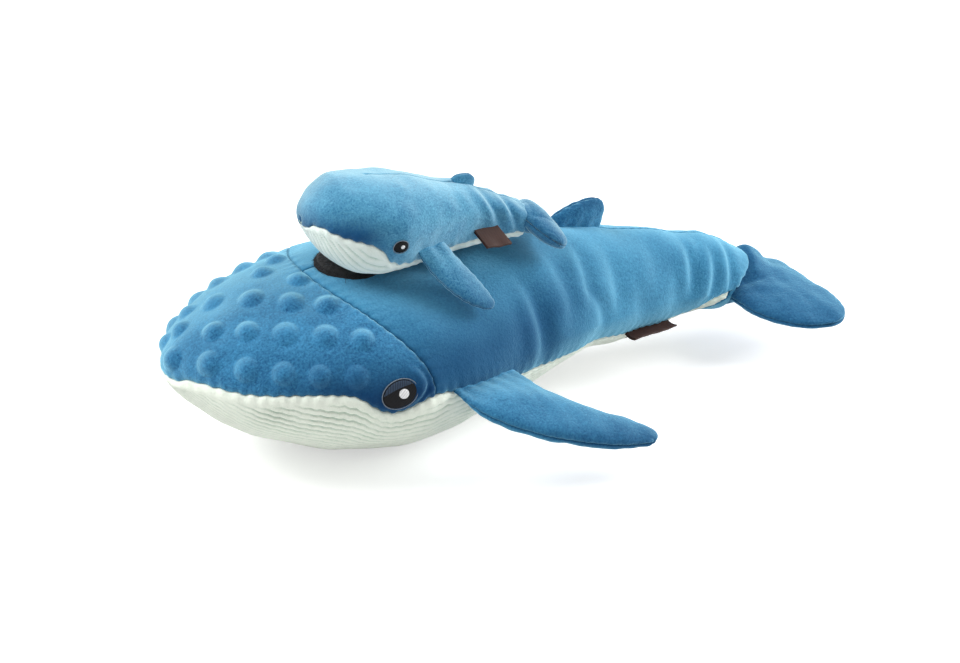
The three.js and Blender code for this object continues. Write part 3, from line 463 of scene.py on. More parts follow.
def section(body, x):
    """Half width, top, side and bottom heights and lower squareness of a body at x.

    Ahead of its widest or highest x a size is a blunt rise from the nose, and behind it a soft fall
    to the tail's. The bottom climbs to the tail's as the rear's share to a power, and the side line
    runs to the middle of the tail as that share to 1.5. Then the bumps are added, and near the nose
    every height gains the lift times (1 - share of its reach)^2.
    """
    nose, end = body["nose_x"], body["end_x"]
    beyond = end + 0.07 * (end - nose)
    rear = clipped((x - body["bottom_rear_x"]) / (end - body["bottom_rear_x"]))
    middle = 0.5 * (body["tail_top"] + body["tail_bottom"])
    side = body["nose_height"] + (middle - body["nose_height"]) * rear ** 1.5
    front = blunt_rise((x - nose) / (body["widest_x"] - nose), body["nose_width_power"])
    back = soft_fall((x - body["widest_x"]) / (beyond - body["widest_x"]), body["tail_width_power"])
    half = np.where(
        x < body["widest_x"], body["half_width"] * front,
        body["tail_half_width"] + (body["half_width"] - body["tail_half_width"]) * back,
    )
    front = blunt_rise((x - nose) / (body["top_x"] - nose), body["nose_top_power"])
    back = soft_fall((x - body["top_x"]) / (beyond - body["top_x"]), body["tail_top_power"])
    top = np.where(
        x < body["top_x"], body["nose_height"] + (body["top"] - body["nose_height"]) * front,
        body["tail_top"] + (body["top"] - body["tail_top"]) * back,
    )
    top = top + bumped(x, body["top_bumps"])
    front = blunt_rise((x - nose) / (body["bottom_front_x"] - nose), body["nose_bottom_power"])
    bottom = np.where(
        x < body["bottom_front_x"],
        body["nose_height"] + (body["bottom"] - body["nose_height"]) * front,
        body["bottom"] + (body["tail_bottom"] - body["bottom"]) * rear ** body["tail_bottom_power"],
    )
    bottom = bottom + bumped(x, body["bottom_bumps"])
    rise, reach = body["nose_lift"]
    raised = rise * (1 - clipped((x - nose) / reach)) ** 2
    top, side, bottom = top + raised, side + raised, bottom + raised
    along = clipped((x - body["bottom_front_x"]) / (end - body["bottom_front_x"]))
    ease = np.minimum(2.5 * along, 1)
    squareness = body["lower_squareness"] + (body["tail_squareness"] - body["lower_squareness"]) * ease
    return half, top, side, bottom, squareness


def body_point(body, x, angle):
    """A point of the skin: half an ellipse above the side line, half a superellipse below it."""
    half, top, side, bottom, squareness = section(body, x)
    sine, cosine = np.sin(np.radians(angle)), np.cos(np.radians(angle))
    power = 2 / squareness
    below = cosine <= 0
    y = np.where(below, -half * np.sign(sine) * np.abs(sine) ** power, -half * sine)
    z = np.where(below, side - (side - bottom) * np.abs(cosine) ** power, side + (top - side) * cosine)
    return points_at(x, y, z)


def seam_angle(body, knots, x, scallop):
    """The angle at which the skin meets the side seam's height, with small scallops along it."""
    half, top, side, bottom, squareness = section(body, x)
    height = through(x, knots) + scallop * np.sin(2 * np.pi * x / 6.3 + 1.4 * np.sin(x / 17))
    above = np.degrees(np.arccos(np.clip((height - side) / np.maximum(top - side, 1e-6), 0, 1)))
    drop = np.clip((side - height) / np.maximum(side - bottom, 1e-6), 0, 1) ** (squareness / 2)
    below = 180 - np.degrees(np.arccos(drop))
    return np.where(height >= side, above, below)


def seam_start(seam, nose):
    """The x behind the nose where the two side seams part: before it the upper panel goes all round."""
    x = nose + np.linspace(0.01, 14, 4000)
    return x[np.argmax(seam(x) < 179.9)]


def round_under(seam, v):
    """The angle at share v of the way from the near seam, under the body, to the far seam."""
    return seam + v * (360 - 2 * seam)


def calf_turn():
    """The turn about Z by the calf's yaw, in rows for points written as rows."""
    angle = math.radians(CALF_YAW)
    return np.array([[math.cos(angle), math.sin(angle), 0], [-math.sin(angle), math.cos(angle), 0],
                     [0, 0, 1.0]])


CALF_TURN = calf_turn()
CALF_ORIGIN = np.array([*CALF_NOSE, 0.0])


def from_calf(points):
    """Points of the calf's frame, turned and moved into her mother's."""
    return points @ CALF_TURN + CALF_ORIGIN


REST_HEIGHT = float(body_point(MOTHER, np.array(REST_MIDDLE_X), 172.5)[2]) + FLOOR_CUT
PATTERN_SHIFT = np.array([-REST_MIDDLE_X, 0, -REST_HEIGHT])


def placed(points):
    """Pattern millimetres as scene metres."""
    return (np.asarray(points, float) + PATTERN_SHIFT) * MM


def swell(points, length, seed, waves=14):
    """Even random swells between about -1 and 1: plane waves of about that length, summed."""
    draw = np.random.default_rng(seed)
    ways = unit(draw.normal(size=(waves, 3))) * (2 * np.pi / (length * draw.uniform(0.7, 1.5, (waves, 1))))
    turns = draw.uniform(0, 2 * np.pi, waves)
    return np.sin(points @ ways.T + turns).sum(axis=-1) / math.sqrt(waves)


# Grids and shells


def shares(rows, cols, first=0):
    """Even shares down a grid, from 0 to 1, and across it, from first to 1."""
    return np.linspace(0, 1, rows)[:, None], np.linspace(first, 1, cols)[None, :]


def run_along(grid, axis):
    """The length of the surface from the grid's first line to each point."""
    step = np.linalg.norm(np.diff(grid, axis=axis), axis=-1)
    zero = np.zeros_like(np.take(step, [0], axis=axis))
    return np.concatenate([zero, np.cumsum(step, axis=axis)], axis=axis)


def runs(grid):
    """Lengths on the surface: across the grid, along it, to its nearer side and to its end."""
    across, along = run_along(grid, 1), run_along(grid, 0)
    return across, along, np.minimum(across, across[:, -1:] - across), along[-1:] - along


def outward(grid, core):
    """Unit normals that point away from the core; lines that close to a point share one."""
    normals = np.cross(np.gradient(grid, axis=0), np.gradient(grid, axis=1))
    weak = np.linalg.norm(normals, axis=-1) < 1e-7
    normals = unit(normals)
    flip = 1.0 if np.sum(normals * (grid - core) * ~weak[..., None]) > 0 else -1.0
    normals *= flip
    for first, second in ((0, 1), (-1, -2)):
        if weak[first].all():
            normals[first] = unit(normals[second].mean(axis=0))
        if weak[:, first].all():
            normals[:, first] = unit(normals[:, second].mean(axis=0))
    return normals, flip > 0


def shell_faces(rows, cols, step, turned):
    """Quads of a grid and of a coarser grid behind it, and the triangles that join their borders."""
    fine = np.arange(rows * cols).reshape(rows, cols)
    back_rows, back_cols = (rows - 1) // step + 1, (cols - 1) // step + 1
    back = rows * cols + np.arange(back_rows * back_cols).reshape(back_rows, back_cols)

    def quads(g):
        return np.stack([g[:-1, :-1], g[1:, :-1], g[1:, 1:], g[:-1, 1:]], axis=-1).reshape(-1, 4)

    def border(g):
        return np.concatenate([g[0, :-1], g[:-1, -1], g[-1, :0:-1], g[:0:-1, 0]])

    front_loop, back_loop = border(fine), border(back)
    parts = [back_loop, np.roll(back_loop, -1)]
    triangles = []
    half = step // 2
    for m in range(step):
        here, after = np.roll(front_loop, -m)[::step], np.roll(front_loop, -m - 1)[::step]
        triangles.append(np.stack([here, after, parts[0] if m < half else parts[1]], axis=-1))
    middle = np.roll(front_loop, -half)[::step]
    triangles.append(np.stack([middle, parts[1], parts[0]], axis=-1))
    faces = [quads(fine), quads(back)[:, ::-1], np.concatenate(triangles)]
    return faces if turned else [part[:, ::-1] for part in faces]


def closed_ends(points, grids):
    """For each point the one that it becomes: a grid's end line that is one place becomes one point,
    and the last line of a grid that closes round becomes its first."""
    target = np.arange(len(points))
    for first, rows, cols, round_ in grids:
        grid = first + np.arange(rows * cols).reshape(rows, cols)
        if round_:
            target[grid[:, -1]] = grid[:, 0]
        for line in (grid[0], grid[-1]):
            if np.ptp(points[line], axis=0).max() < 0.02:
                target[line] = line[0]
    return target


def joined(faces, target):
    """Faces whose points have become their targets: doubled corners go, and so do empty faces."""
    kept = []
    for part in faces:
        part = target[part]
        double = part == np.roll(part, -1, axis=1)
        count = double.sum(axis=1)
        kept.append(part[count == 0])
        if part.shape[1] == 4:
            kept.append(part[count == 1][~double[count == 1]].reshape(-1, 3))
    return kept


def make_piece(name, points, faces, material, marks=None, stitch=None):
    """A smooth mesh piece from arrays of faces; marks become point attributes."""
    used, corners = np.unique(np.concatenate([part.ravel() for part in faces]), return_inverse=True)
    sizes = np.concatenate([np.full(len(part), part.shape[1]) for part in faces])
    cuts = np.cumsum(sizes)[:-1]
    mesh = bpy.data.meshes.new(name)
    mesh.from_pydata(placed(points)[used].tolist(), [], [part.tolist() for part in np.split(corners, cuts)])
    for label, values in (marks or {}).items():
        mesh.attributes.new(label, "FLOAT", "POINT").data.foreach_set(
            "value", np.asarray(values, np.float32).ravel()[used])
    if stitch is not None:
        layer = mesh.uv_layers.new(name="stitch")
        layer.data.foreach_set("uv", (np.asarray(stitch) * MM)[used][corners].astype(np.float32).ravel())
    mesh.polygons.foreach_set("use_smooth", np.ones(len(mesh.polygons), bool))
    mesh.materials.append(material)
    piece = bpy.data.objects.new(name, mesh)
    bpy.context.scene.collection.objects.link(piece)
    return piece


def tube_faces(rows, cols, turned):
    """Quads of a grid that closes round."""
    grid = np.arange(rows * cols).reshape(rows, cols)
    quads = np.stack([grid[:-1, :-1], grid[1:, :-1], grid[1:, 1:], grid[:-1, 1:]], axis=-1).reshape(-1, 4)
    return [quads if turned else quads[:, ::-1]]


def panel(name, base, core, lift, material, wall=4.0, step=8, marks=None, place=None):
    """A sewn panel as a closed shell: base moved out by lift, and a plain inner face wall behind."""
    normals, turned = outward(base, core)
    front = base + normals * lift[..., None]
    back = (base - normals * np.broadcast_to(wall, lift.shape)[..., None])[::step, ::step]
    rows, cols = base.shape[:2]
    points = np.concatenate([front.reshape(-1, 3), back.reshape(-1, 3)])
    values = {}
    for label, field in (marks or {}).items():
        field = np.broadcast_to(field, lift.shape).ravel()
        values[label] = np.concatenate([field, np.ones(back[..., 0].size)])
    target = closed_ends(points, [(0, rows, cols, False), (rows * cols, *back.shape[:2], False)])
    faces = joined(shell_faces(rows, cols, step, turned), target)
    if place is not None:
        points = place(points)
    return make_piece(name, points, faces, material, values)


def tuck(distance, width, depth):
    """The roll of stuffed cloth into a seam: a quarter circle of that width and depth."""
    share = clipped(1 - distance / width)
    return -depth * (1 - np.sqrt(np.maximum(1 - share ** 2, 0)))


def painted_seam_shade(distance, width):
    """The painted shade in a seam: 0.55 (1 - distance / width)^1.5, and none beyond the width."""
    return 0.55 * clipped(1 - distance / width) ** 1.5


def pucker(distance, run, reach=7.0, seed=1.0):
    """Small gathers along a seam, 6 to 9 mm apart, that fade away from it."""
    wave = np.sin(2 * np.pi * run / 7.3 + 2.2 * np.sin(run / 11 + seed) + seed)
    return 0.32 * wave * np.exp(-distance / reach)


# Mother's panels


def head_seam_x(y):
    """The head seam in plan: it runs back from the spine as the square of y."""
    return HEAD_SEAM_SPINE_X + (HEAD_SEAM_SIDE_X - HEAD_SEAM_SPINE_X) * (y / MOTHER["half_width"]) ** 2


def settled(start, x_of, point_of, rounds=60):
    """The x where a line across the body is met, found by halving the step towards it."""
    x = start
    for _ in range(rounds):
        x = 0.5 * x + 0.5 * x_of(point_of(x))
    return x


SCALLOP = 0.45


def mother_seam(x):
    """The angle of her side seams at x."""
    return seam_angle(MOTHER, MOTHER_SEAM, x, SCALLOP)


CREASE_HEIGHTS = [30, 36, 41, 45, 50, 54, 57]
CREASE_XS = [192, 193, 194.5, 197.5, 204.5, 209.5, 213]


def crease_x(point):
    """Where her body ends round the fluke, from the height there: further back over the top."""
    return np.interp(point[..., 2], CREASE_HEIGHTS, CREASE_XS)


BELLY_END_X = 187
BELLY_END_BOW = 26
BELLY_END_HALF_WIDTH = 22.5


def belly_end_x(point):
    """Where the ribbed belly ends under the tail: a parabola across it that runs forward."""
    return BELLY_END_X - BELLY_END_BOW * clipped(1 - (point[..., 1] / BELLY_END_HALF_WIDTH) ** 2)


def tail_folds(points, angle):
    """Soft folds round the rear body, each by its x, bow, depth, width, middle angle and spread.

    A fold is a valley e^-off^2 between two low shoulders, where off counts widths from its bowed
    line, and it fades as e^-|share|^3 with the angle. The far side's lines are shifted a little.
    """
    folds = [
        (21.5, 7.0, 3.2, 6.5, 76, 30), (7, 0.0, 1.0, 8.0, 70, 26), (46, 5.0, 1.4, 6.5, 55, 22),
        (66, -2.5, 1.8, 5.5, 50, 24), (73, 10.0, 1.9, 6.0, 80, 18), (90, -1.5, 1.5, 6.5, 64, 30),
        (110, 2.0, 1.2, 8.0, 84, 26), (126, -3.0, 1.2, 9.0, 50, 26), (141, 0.0, 1.0, 7.0, 78, 26),
        (155, -3.0, 2.3, 4.6, 58, 28), (165, -3.0, 0.8, 4.0, 34, 22), (172, -7.0, 1.9, 4.0, 66, 30),
        (188, -4.0, 2.0, 3.6, 50, 40),
    ]
    total = np.zeros(points.shape[:-1])
    for x, bow, depth, width, middle, spread in folds:
        for side in (1, -1):
            share = (angle * side - middle) / spread
            if side > 0:
                line = x + 0.5 * bow * share - 0.35 * abs(bow) * (share ** 2 - 0.5)
            else:
                line = x + 5.0 * math.sin(x) - 0.5 * bow * share
            off = (points[..., 0] - line) / width
            valley = -np.exp(-np.where(off > 0, off * 0.8, off * 1.2) ** 2)
            shoulder = 0.35 * np.exp(-((off + 1.6) / 1.2) ** 2) + 0.2 * np.exp(-((off - 2.2) / 1.4) ** 2)
            total += 0.85 * depth * np.exp(-np.abs(share) ** 3) * (valley + shoulder)
    return total


def mother_lumps(points):
    """Slow swells of the filling: 0.7 mm over about 62 mm and 0.35 mm over 24 mm."""
    return 0.7 * swell(points, 62, 11) + 0.35 * swell(points, 24, 12)


def make_head():
    """The dotted panel: her skin from the nose to the head seam, with the angle running from the far
    side seam to the near one, lifted by the filling's lumps, the dots and a tuck along each seam."""
    u, v = shares(169, 241, -1)
    start = MOTHER["nose_x"]
    end = settled(np.full(v.shape, -90.0), lambda p: head_seam_x(p[..., 1]),
                  lambda x: body_point(MOTHER, x, v * mother_seam(x)))
    x = start + (end - start) * near_start(u, 0.45)
    angle = v * mother_seam(x)
    angle[0] = 0
    base = body_point(MOTHER, x, angle)
    core = points_at(np.maximum(x, -150), 0, 66)
    across, along, to_side, to_rear = runs(base)
    lift = mother_lumps(base) + tuck(to_side, 5, 2.0) + tuck(to_rear, 3.0, 0.9)
    lift += pucker(to_side, along, 5.0) + pucker(to_rear, across, 5.0, 2.0)
    lift += raised_dots(base) - eye_hollow(base)
    shade = np.maximum(painted_seam_shade(to_rear, 1.5), painted_seam_shade(to_side, 1.0) * soft_step((x + 192) / 8))
    # painted shade: darker below a height of 96 mm, fading out towards the nose
    painted_shade = 0.95 * soft_step((96 - base[..., 2]) / 34) * soft_step((base[..., 0] + 172) / 60)
    piece = panel("head_skin", base, core, lift, HEAD_PLUSH,
                  marks={"groove_shade": shade, "painted_shade": painted_shade})
    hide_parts("head_panel")
    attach(piece, "mother")


# Each dot's x and its angle round her body, positive on the near side

DOTS = [
    (-191.8, 19.5), (-177.7, 48.5), (-161.8, 57.2), (-144.9, 63), (-127.6, 67.2), (-108.7, 70.5),
    (-180.7, -15.5), (-168.7, 17.8), (-153.6, 29), (-136.3, 37.8), (-117.1, 44.2), (-99.3, 50.5),
    (-169.3, -32.8), (-158, -12), (-141.6, 7), (-124.2, 19.8), (-107.6, 27), (-144, -34),
    (-124.7, -11), (-111.9, 6.2), (-106.5, -37.2), (-110, -19.5), (-126, -33), (-187, -48),
    (-174, -59), (-155, -52), (-137, -55), (-117, -54), (-98, -53), (-160, -69), (-142, -72),
    (-123, -72), (-104, -71),
]


def raised_dots(points):
    """Round knobs about 13 mm across and 3 mm high, each with a shallow ring round it.

    A knob is its rise times (1 - (away / 1.22 radius)^2)^1.35.
    """
    places = np.array(DOTS, float)
    centres = body_point(MOTHER, places[:, 0], places[:, 1])
    draw = np.random.default_rng(5)
    total = np.zeros(points.shape[:-1])
    for centre, radius, rise in zip(centres, draw.uniform(6.0, 6.9, len(centres)),
                                    draw.uniform(2.7, 3.5, len(centres))):
        away = np.linalg.norm(points - centre, axis=-1)
        knob = clipped(1 - (away / (1.22 * radius)) ** 2)
        total += rise * knob ** 1.35 - 0.15 * np.exp(-((away - radius * 1.4) / 2.6) ** 2)
    return total


def eye_hollow(points):
    """A shallow hollow round each eye, and the puffed crease behind it."""
    total = np.zeros(points.shape[:-1])
    for side in (1, -1):
        centre = body_point(MOTHER, np.array(EYE_X), side * EYE_ANGLE)
        away = np.linalg.norm(points - centre, axis=-1)
        total += 1.1 * np.exp(-(away / 12) ** 4)
        behind = centre + np.array([17.5, 0, 3.0])
        gap = points - behind
        bow = gap[..., 0] + 0.055 * (gap[..., 2] - 1) ** 2
        near = (points[..., 1] * side < 0) * np.exp(-(gap[..., 2] / 10) ** 4)
        total += near * (1.1 * np.exp(-(bow / 1.8) ** 2) - 1.3 * np.exp(-((bow + 4.5) / 3.4) ** 2))
    return total


def make_backs():
    """Each half of the back: her skin from the head seam to the fluke's crease and from the spine to
    the side seam, lifted by the lumps and folds and tucked in at its four seams."""
    u, v = shares(209, 113)
    for name, side in (("left", 1), ("right", -1)):
        def at(x, side=side):
            return body_point(MOTHER, x, side * v * mother_seam(x))
        start = settled(np.full(v.shape, -90.0), lambda p: head_seam_x(p[..., 1]), at)
        end = settled(np.full(v.shape, 200.0), crease_x, at)
        x = start + (end - start) * u
        angle = side * v * mother_seam(x)
        base = body_point(MOTHER, x, angle)
        core = points_at(x, 0, 45)
        across, along, _, to_rear = runs(base)
        to_side = across[:, -1:] - across
        lift = mother_lumps(base) + tail_folds(base, angle) - eye_hollow(base)
        lift += (tuck(to_side, 6, 2.2) + tuck(across, 2.6, 0.9) + tuck(along, 3.0, 0.9)
                 + tuck(to_rear, 8, 3.8))
        lift += (pucker(to_side, along) + pucker(along, across, 5.0, 2.0)
                 + 0.5 * pucker(across, along, 4.0, 3.0))
        lift += 0.5 * pucker(to_rear, across, 6.0, 4.0)
        wall = 4.0 + 6.0 * np.exp(-(to_rear / 10) ** 2)
        shade = np.maximum.reduce([painted_seam_shade(along, 1.5), painted_seam_shade(across, 0.9),
                                   painted_seam_shade(to_side, 1.2), painted_seam_shade(to_rear, 2.0)])
        # painted shade: darker ahead of x 105 and below a height of 110 mm
        painted_shade = 0.8 * soft_step((105 - base[..., 0]) / 100) * soft_step((110 - base[..., 2]) / 38)
        piece = panel(f"back_skin_{name}", base, core, lift, BACK_PLUSH, wall=wall,
                      marks={"groove_shade": shade, "painted_shade": painted_shade})
        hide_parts(f"back_panel_{name}")
        across_fluke(piece)


def across_fluke(piece):
    """Bakes the piece's place into its mesh; the points just before and behind the fluke's crease are
    worked out and not used.
    """
    placed((FLUKE_X - 14, 0, FLUKE_HEIGHT)).tolist()
    placed((FLUKE_X + 12, 0, FLUKE_HEIGHT)).tolist()
    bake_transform(piece)


WALE = 4.5
FULL_RIBS_X = -55
FLOOR_CLEAR = 0.1


def ridges(run, pitch):
    """Rounded ridges with narrow valleys: 1 - (1 - |sin|)^2, and its complement for the shade."""
    ridge = 1 - (1 - np.abs(np.sin(np.pi * run / pitch))) ** 2
    return ridge, 1 - ridge


def make_belly():
    """The ribbed panel: her skin from seam to seam under the body. Its ribs run along it, drawn
    together towards the nose by the width's share of the full width to the power 0.72, with a
    smooth lip beside the mouth's seam. What would touch the floor is pressed up."""
    rows, cols = 297, 321
    u, v = shares(rows, cols)
    u = near_start(np.interp(u, [0, 0.08, 0.55, 1], [0, 0.012, 0.40, 1]), 0.02)
    start = seam_start(mother_seam, MOTHER["nose_x"])
    end = settled(np.full(v.shape, 175.0), belly_end_x,
                  lambda x: body_point(MOTHER, x, round_under(mother_seam(x), v)))
    x = start + (end - start) * u
    angle = round_under(mother_seam(x), v)
    base = body_point(MOTHER, x, angle)
    core = points_at(np.maximum(x, -150), 0, 45)
    across, along, to_side, to_rear = runs(base)
    from_middle = across - across[:, cols // 2][:, None]
    full_width = across[np.argmin(np.abs(x[:, 0] - FULL_RIBS_X)), -1]
    drawn = np.minimum(across[:, -1:] / full_width, 1) ** 0.72
    wander = 0.9 * swell(base * (1, 0.35, 0.35), 46, 21) + 0.28 * swell(base, 11, 22)
    ridge, valley = ridges((from_middle + wander * drawn) / drawn, WALE)
    lip = soft_step((to_side - 4.0) / 4.0)
    behind = soft_step((x + 70) / 25)
    strength = np.maximum(lip, behind) * (0.85 + 0.25 * swell(base, 19, 23)) * drawn ** 0.5
    lift = mother_lumps(base) + tail_folds(base, np.where(angle > 180, angle - 360, angle))
    lift += 1.25 * strength * (ridge - 1) + 0.35 * (1 - np.maximum(lip, behind))
    lift += tuck(to_side, 4.5, 2.0) + tuck(to_rear, 3.5, 1.6) + 1.3 * pucker(to_side, along, 6.0, 5.0)
    # painted shade in the valleys between the ribs, carried as groove_shade
    shade = clipped(0.95 * valley ** 1.3 * clipped(strength))
    front = base + outward(base, core)[0] * lift[..., None]
    short = np.maximum(FLOOR_CLEAR - placed(front)[..., 2] / MM, 0)
    lift -= short * np.exp(-((angle - 180) / 60) ** 2)
    piece = panel("belly_skin", base, core, lift, MINT_CORD, marks={"groove_shade": shade})
    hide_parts("belly_panel")
    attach(piece, "mother")


def make_underside():
    """The blue piece under the tail: her skin from the end of the ribbed belly to the fluke's crease,
    from seam to seam, tucked in on every side."""
    u, v = shares(49, 97)

    def at(x):
        return body_point(MOTHER, x, round_under(mother_seam(x), v))

    start = settled(np.full(v.shape, 175.0), belly_end_x, at)
    end = settled(np.full(v.shape, 200.0), crease_x, at) + 2.0
    x = start + (end - start) * u
    base = at(x)
    core = points_at(x, 0, 40)
    _, along, to_side, to_rear = runs(base)
    lift = mother_lumps(base) + tuck(to_side, 3.5, 1.6) + tuck(along, 3, 1.2) + tuck(to_rear, 7, 5.5)
    wall = 4.0 + 5.0 * np.exp(-(to_rear / 10) ** 2)
    piece = panel("tail_underside_skin", base, core, lift, BACK_PLUSH, wall=wall,
                  marks={"groove_shade": painted_seam_shade(along, 1.0)})
    across_fluke(piece)


make_head()
make_backs()
make_belly()
make_underside()

# Fins and flukes


def fin_frame(front, rear, reach):
    """A fin's root frame: X along the reach, Z its upper side; also root chord, sweep and length."""
    forward = front - rear
    chord = np.linalg.norm(forward)
    forward = forward / chord
    reach = np.array(reach, float)
    sweep = -reach @ forward
    out = reach + forward * sweep
    length = np.linalg.norm(out)
    out = out / length
    side = -1 if reach[1] > 0 else 1
    upper = np.cross(forward, out) * side
    axes = np.stack([out, np.cross(upper, out), upper])
    return dict(origin=0.5 * (front + rear), axes=axes, chord=chord, sweep=sweep, length=length, side=side)


def in_frame(place, points):
    """Points of a fin's own frame, moved into the pattern frame."""
    return points @ place["axes"] + place["origin"]


def stood_off(body, x, angle, lift=1.2):
    """A point of the skin moved out of the body by lift, as its pattern is grown by lift."""
    grown = dict(body, half_width=body["half_width"] + lift, top=body["top"] + lift,
                 bottom=body["bottom"] - lift, tail_half_width=body["tail_half_width"] + lift,
                 tail_top=body["tail_top"] + lift)
    return body_point(grown, np.array(float(x)), angle)


def paddle_point(fin, u, turn):
    """A point of a padded paddle at length u and at turn round its edge, 0 at the rear edge.

    With t the share of the length, half the chord is 0.5 chord (1 + swell t) sqrt(1 - t^blunt) and
    its middle lies at middle + sweep t^bend. Half the thickness grows from the root's to the full
    one within the blend length and is rounded at the tip.
    """
    t = np.minimum(np.abs(u) / fin["length"], 1)
    swelled = 0.5 * fin["chord"] * (1 + fin.get("swell", 0.2) * t)
    half_chord = swelled * np.sqrt(1 - t ** fin.get("blunt", 3.2))
    grown = np.sin(np.pi / 2 * clipped(np.abs(u) / fin["blend"]))
    root, full = fin["root_thickness"], fin["thickness"]
    half = 0.5 * (root + (full - root) * grown) * np.sqrt(1 - t ** 4)
    round_ = np.cos(turn)
    trim = np.where(round_ > 0, fin.get("trim_rear", 0), fin.get("trim_front", 0))
    y = fin.get("middle", 0) + fin["sweep"] * t ** fin.get("bend", 1.75)
    y = y + half_chord * round_ * (1 - trim * np.sin(np.pi * t ** 0.9))
    z = half * np.sin(turn) - fin.get("drop", 0) * t ** 1.5
    return points_at(u, fin["side"] * y, z)


def make_fin(names, nodes, fin, place, material, move, rows=113, cols=65, bury=3.0,
             seam=(3.2, 1.3), plump=0.6, lumps=0.4, pleats=0.6, wall=1.6, seed=31):
    """The two panels of a fin: each half of the paddle, rolled into the seam round its edge.

    Pleats run out from the root: a sine across the chord that fades as e^-(length / 13).
    """
    s, v = shares(rows, cols)
    u = -bury + (fin["length"] + bury) * np.sin(np.pi / 2 * s)
    middle = fin.get("middle", 0) + fin["sweep"] * clipped(u / fin["length"]) ** 1.75
    for name, node_name, way in zip(names, nodes, (1, -1)):
        turn = np.pi * v * way
        base = paddle_point(fin, u, turn)
        core = points_at(u, fin["side"] * middle, -30.0 * way)
        _, along, to_side, to_tip = runs(base)
        to_edge = np.minimum(to_side, to_tip)
        patterned = in_frame(place, base)
        lift = plump + lumps * swell(patterned, 26, seed) + 0.4 * lumps * swell(patterned, 11, seed + 1)
        lift = lift + tuck(to_edge, *seam) + 0.7 * pucker(to_edge, along, 3.5, seed)
        root = np.exp(-np.maximum(u, 0) / 13.0)
        lift = lift + pleats * root * np.sin(base[..., 1] * 2 * np.pi / 9.5 + 0.7 * way + seed)
        # painted shade: darker towards the fin's tip
        painted_shade = 0.65 * clipped(u / fin["length"]) ** 1.5
        piece = panel(name, base, core, lift, material, wall=wall,
                      marks={"groove_shade": painted_seam_shade(to_edge, 1.5), "painted_shade": painted_shade},
                      place=lambda p: move(in_frame(place, p)))
        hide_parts(node_name)
        yield piece


def far_hang(hang, fin, points):
    """How much lower the far lobe of a fluke hangs, rising from nothing at the middle."""
    return hang * soft_step(-2.2 * points[..., 0] / fin["length"])


def make_padding(name, node_name, fin, place, both_ways, inset=3.2, hang=0.0):
    """The loose filling of a fin: the paddle drawn in on every side, gently lumpy."""
    thin = dict(fin, length=fin["length"] - inset, chord=fin["chord"] - 2 * inset,
                thickness=fin["thickness"] - 2 * inset,
                root_thickness=max(fin["root_thickness"] - 2 * inset, 0.6))
    s = np.linspace(-1 if both_ways else 0, 1, 81 if both_ways else 49)[:, None]
    turn = np.linspace(0, 2 * np.pi, 41)[None, :]
    first = 0 if both_ways else 3.0
    u = first + (thin["length"] - first) * np.sin(np.pi / 2 * s)
    base = paddle_point(thin, u, turn)
    if both_ways:
        base[..., 1] = np.maximum(base[..., 1], 4.0)
    core = points_at(u, base[..., 1].mean(axis=1, keepdims=True), 0)
    normals, turned = outward(base, core)
    patterned = in_frame(place, base)
    front = base + normals * (0.5 * swell(patterned, 12, 77))[..., None]
    front[..., 2] -= far_hang(hang, fin, front)
    if not both_ways:
        middle = np.broadcast_to(front[:1].mean(axis=1, keepdims=True), front[:1].shape)
        front = np.concatenate([middle, front])
    front[:, -1] = front[:, 0]
    rows, cols = front.shape[:2]
    points = front.reshape(-1, 3)
    faces = joined(tube_faces(rows, cols, turned), closed_ends(points, [(0, rows, cols, True)]))
    piece = make_piece(name, in_frame(place, points), faces, WHITE_FILL)
    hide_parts(node_name)
    return piece


def same(points):
    """The points as they are, for what lies in her own frame."""
    return points


def hinged(piece, place, reach, move=same):
    """Bakes the piece's place into its mesh; the fin's root and the point reach out along it are worked out
    and not used.
    """
    start = in_frame(place, np.zeros(3))
    end = in_frame(place, np.array([reach, 0, 0.0]))
    placed(move(start)).tolist()
    placed(move(end)).tolist()
    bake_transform(piece)


def make_pectorals():
    """Her two side fins: paddles that leave the side seam on the line between two points stood off the
    skin and reach out, back and down, each with its filling."""
    for name, side in (("left", 1), ("right", -1)):
        place = fin_frame(stood_off(MOTHER, -51, side * 93.0), stood_off(MOTHER, 1, side * 102.0),
                          (78, side * -58, -32))
        fin = dict(length=place["length"], chord=place["chord"], sweep=place["sweep"], thickness=17,
                   root_thickness=3.5, blend=0.35 * place["length"], side=place["side"],
                   trim_rear=0.3, trim_front=-0.07)
        body = f"pectoral_fin_{name}"
        names = [f"{body}_{part}_skin" for part in ("upper", "lower")]
        nodes = [f"{body}_{part}" for part in ("upper", "lower")]
        for piece in make_fin(names, nodes, fin, place, FIN_PLUSH, same, rows=129, cols=81,
                              seam=(4.2, 1.7), pleats=0.25):
            hinged(piece, place, 22)
        thin = dict(fin, root_thickness=1.5)
        padding = make_padding(f"{body}_padding_fill", f"{body}_padding", thin, place, both_ways=False)
        hinged(padding, place, 22)


def make_dorsal():
    """The small fin on the spine: a short paddle stood on end, one panel to each side."""
    place = fin_frame(stood_off(MOTHER, 60, 0.0), stood_off(MOTHER, 101, 0.0), (15, 0, 14.5))
    fin = dict(length=17.6, chord=43.5, middle=-2.3, sweep=13.5, bend=1.26, thickness=9,
               root_thickness=4.5, blend=9, side=place["side"], swell=-0.48, blunt=3.4)
    for piece in make_fin(["dorsal_fin_right_skin", "dorsal_fin_left_skin"],
                          ["dorsal_fin_right", "dorsal_fin_left"], fin, place, FIN_PLUSH,
                          same, rows=65, cols=49, seam=(2.4, 1.0), bury=4.0, lumps=0.3, pleats=0.3,
                          wall=1.2, seed=41):
        hinged(piece, place, 7)


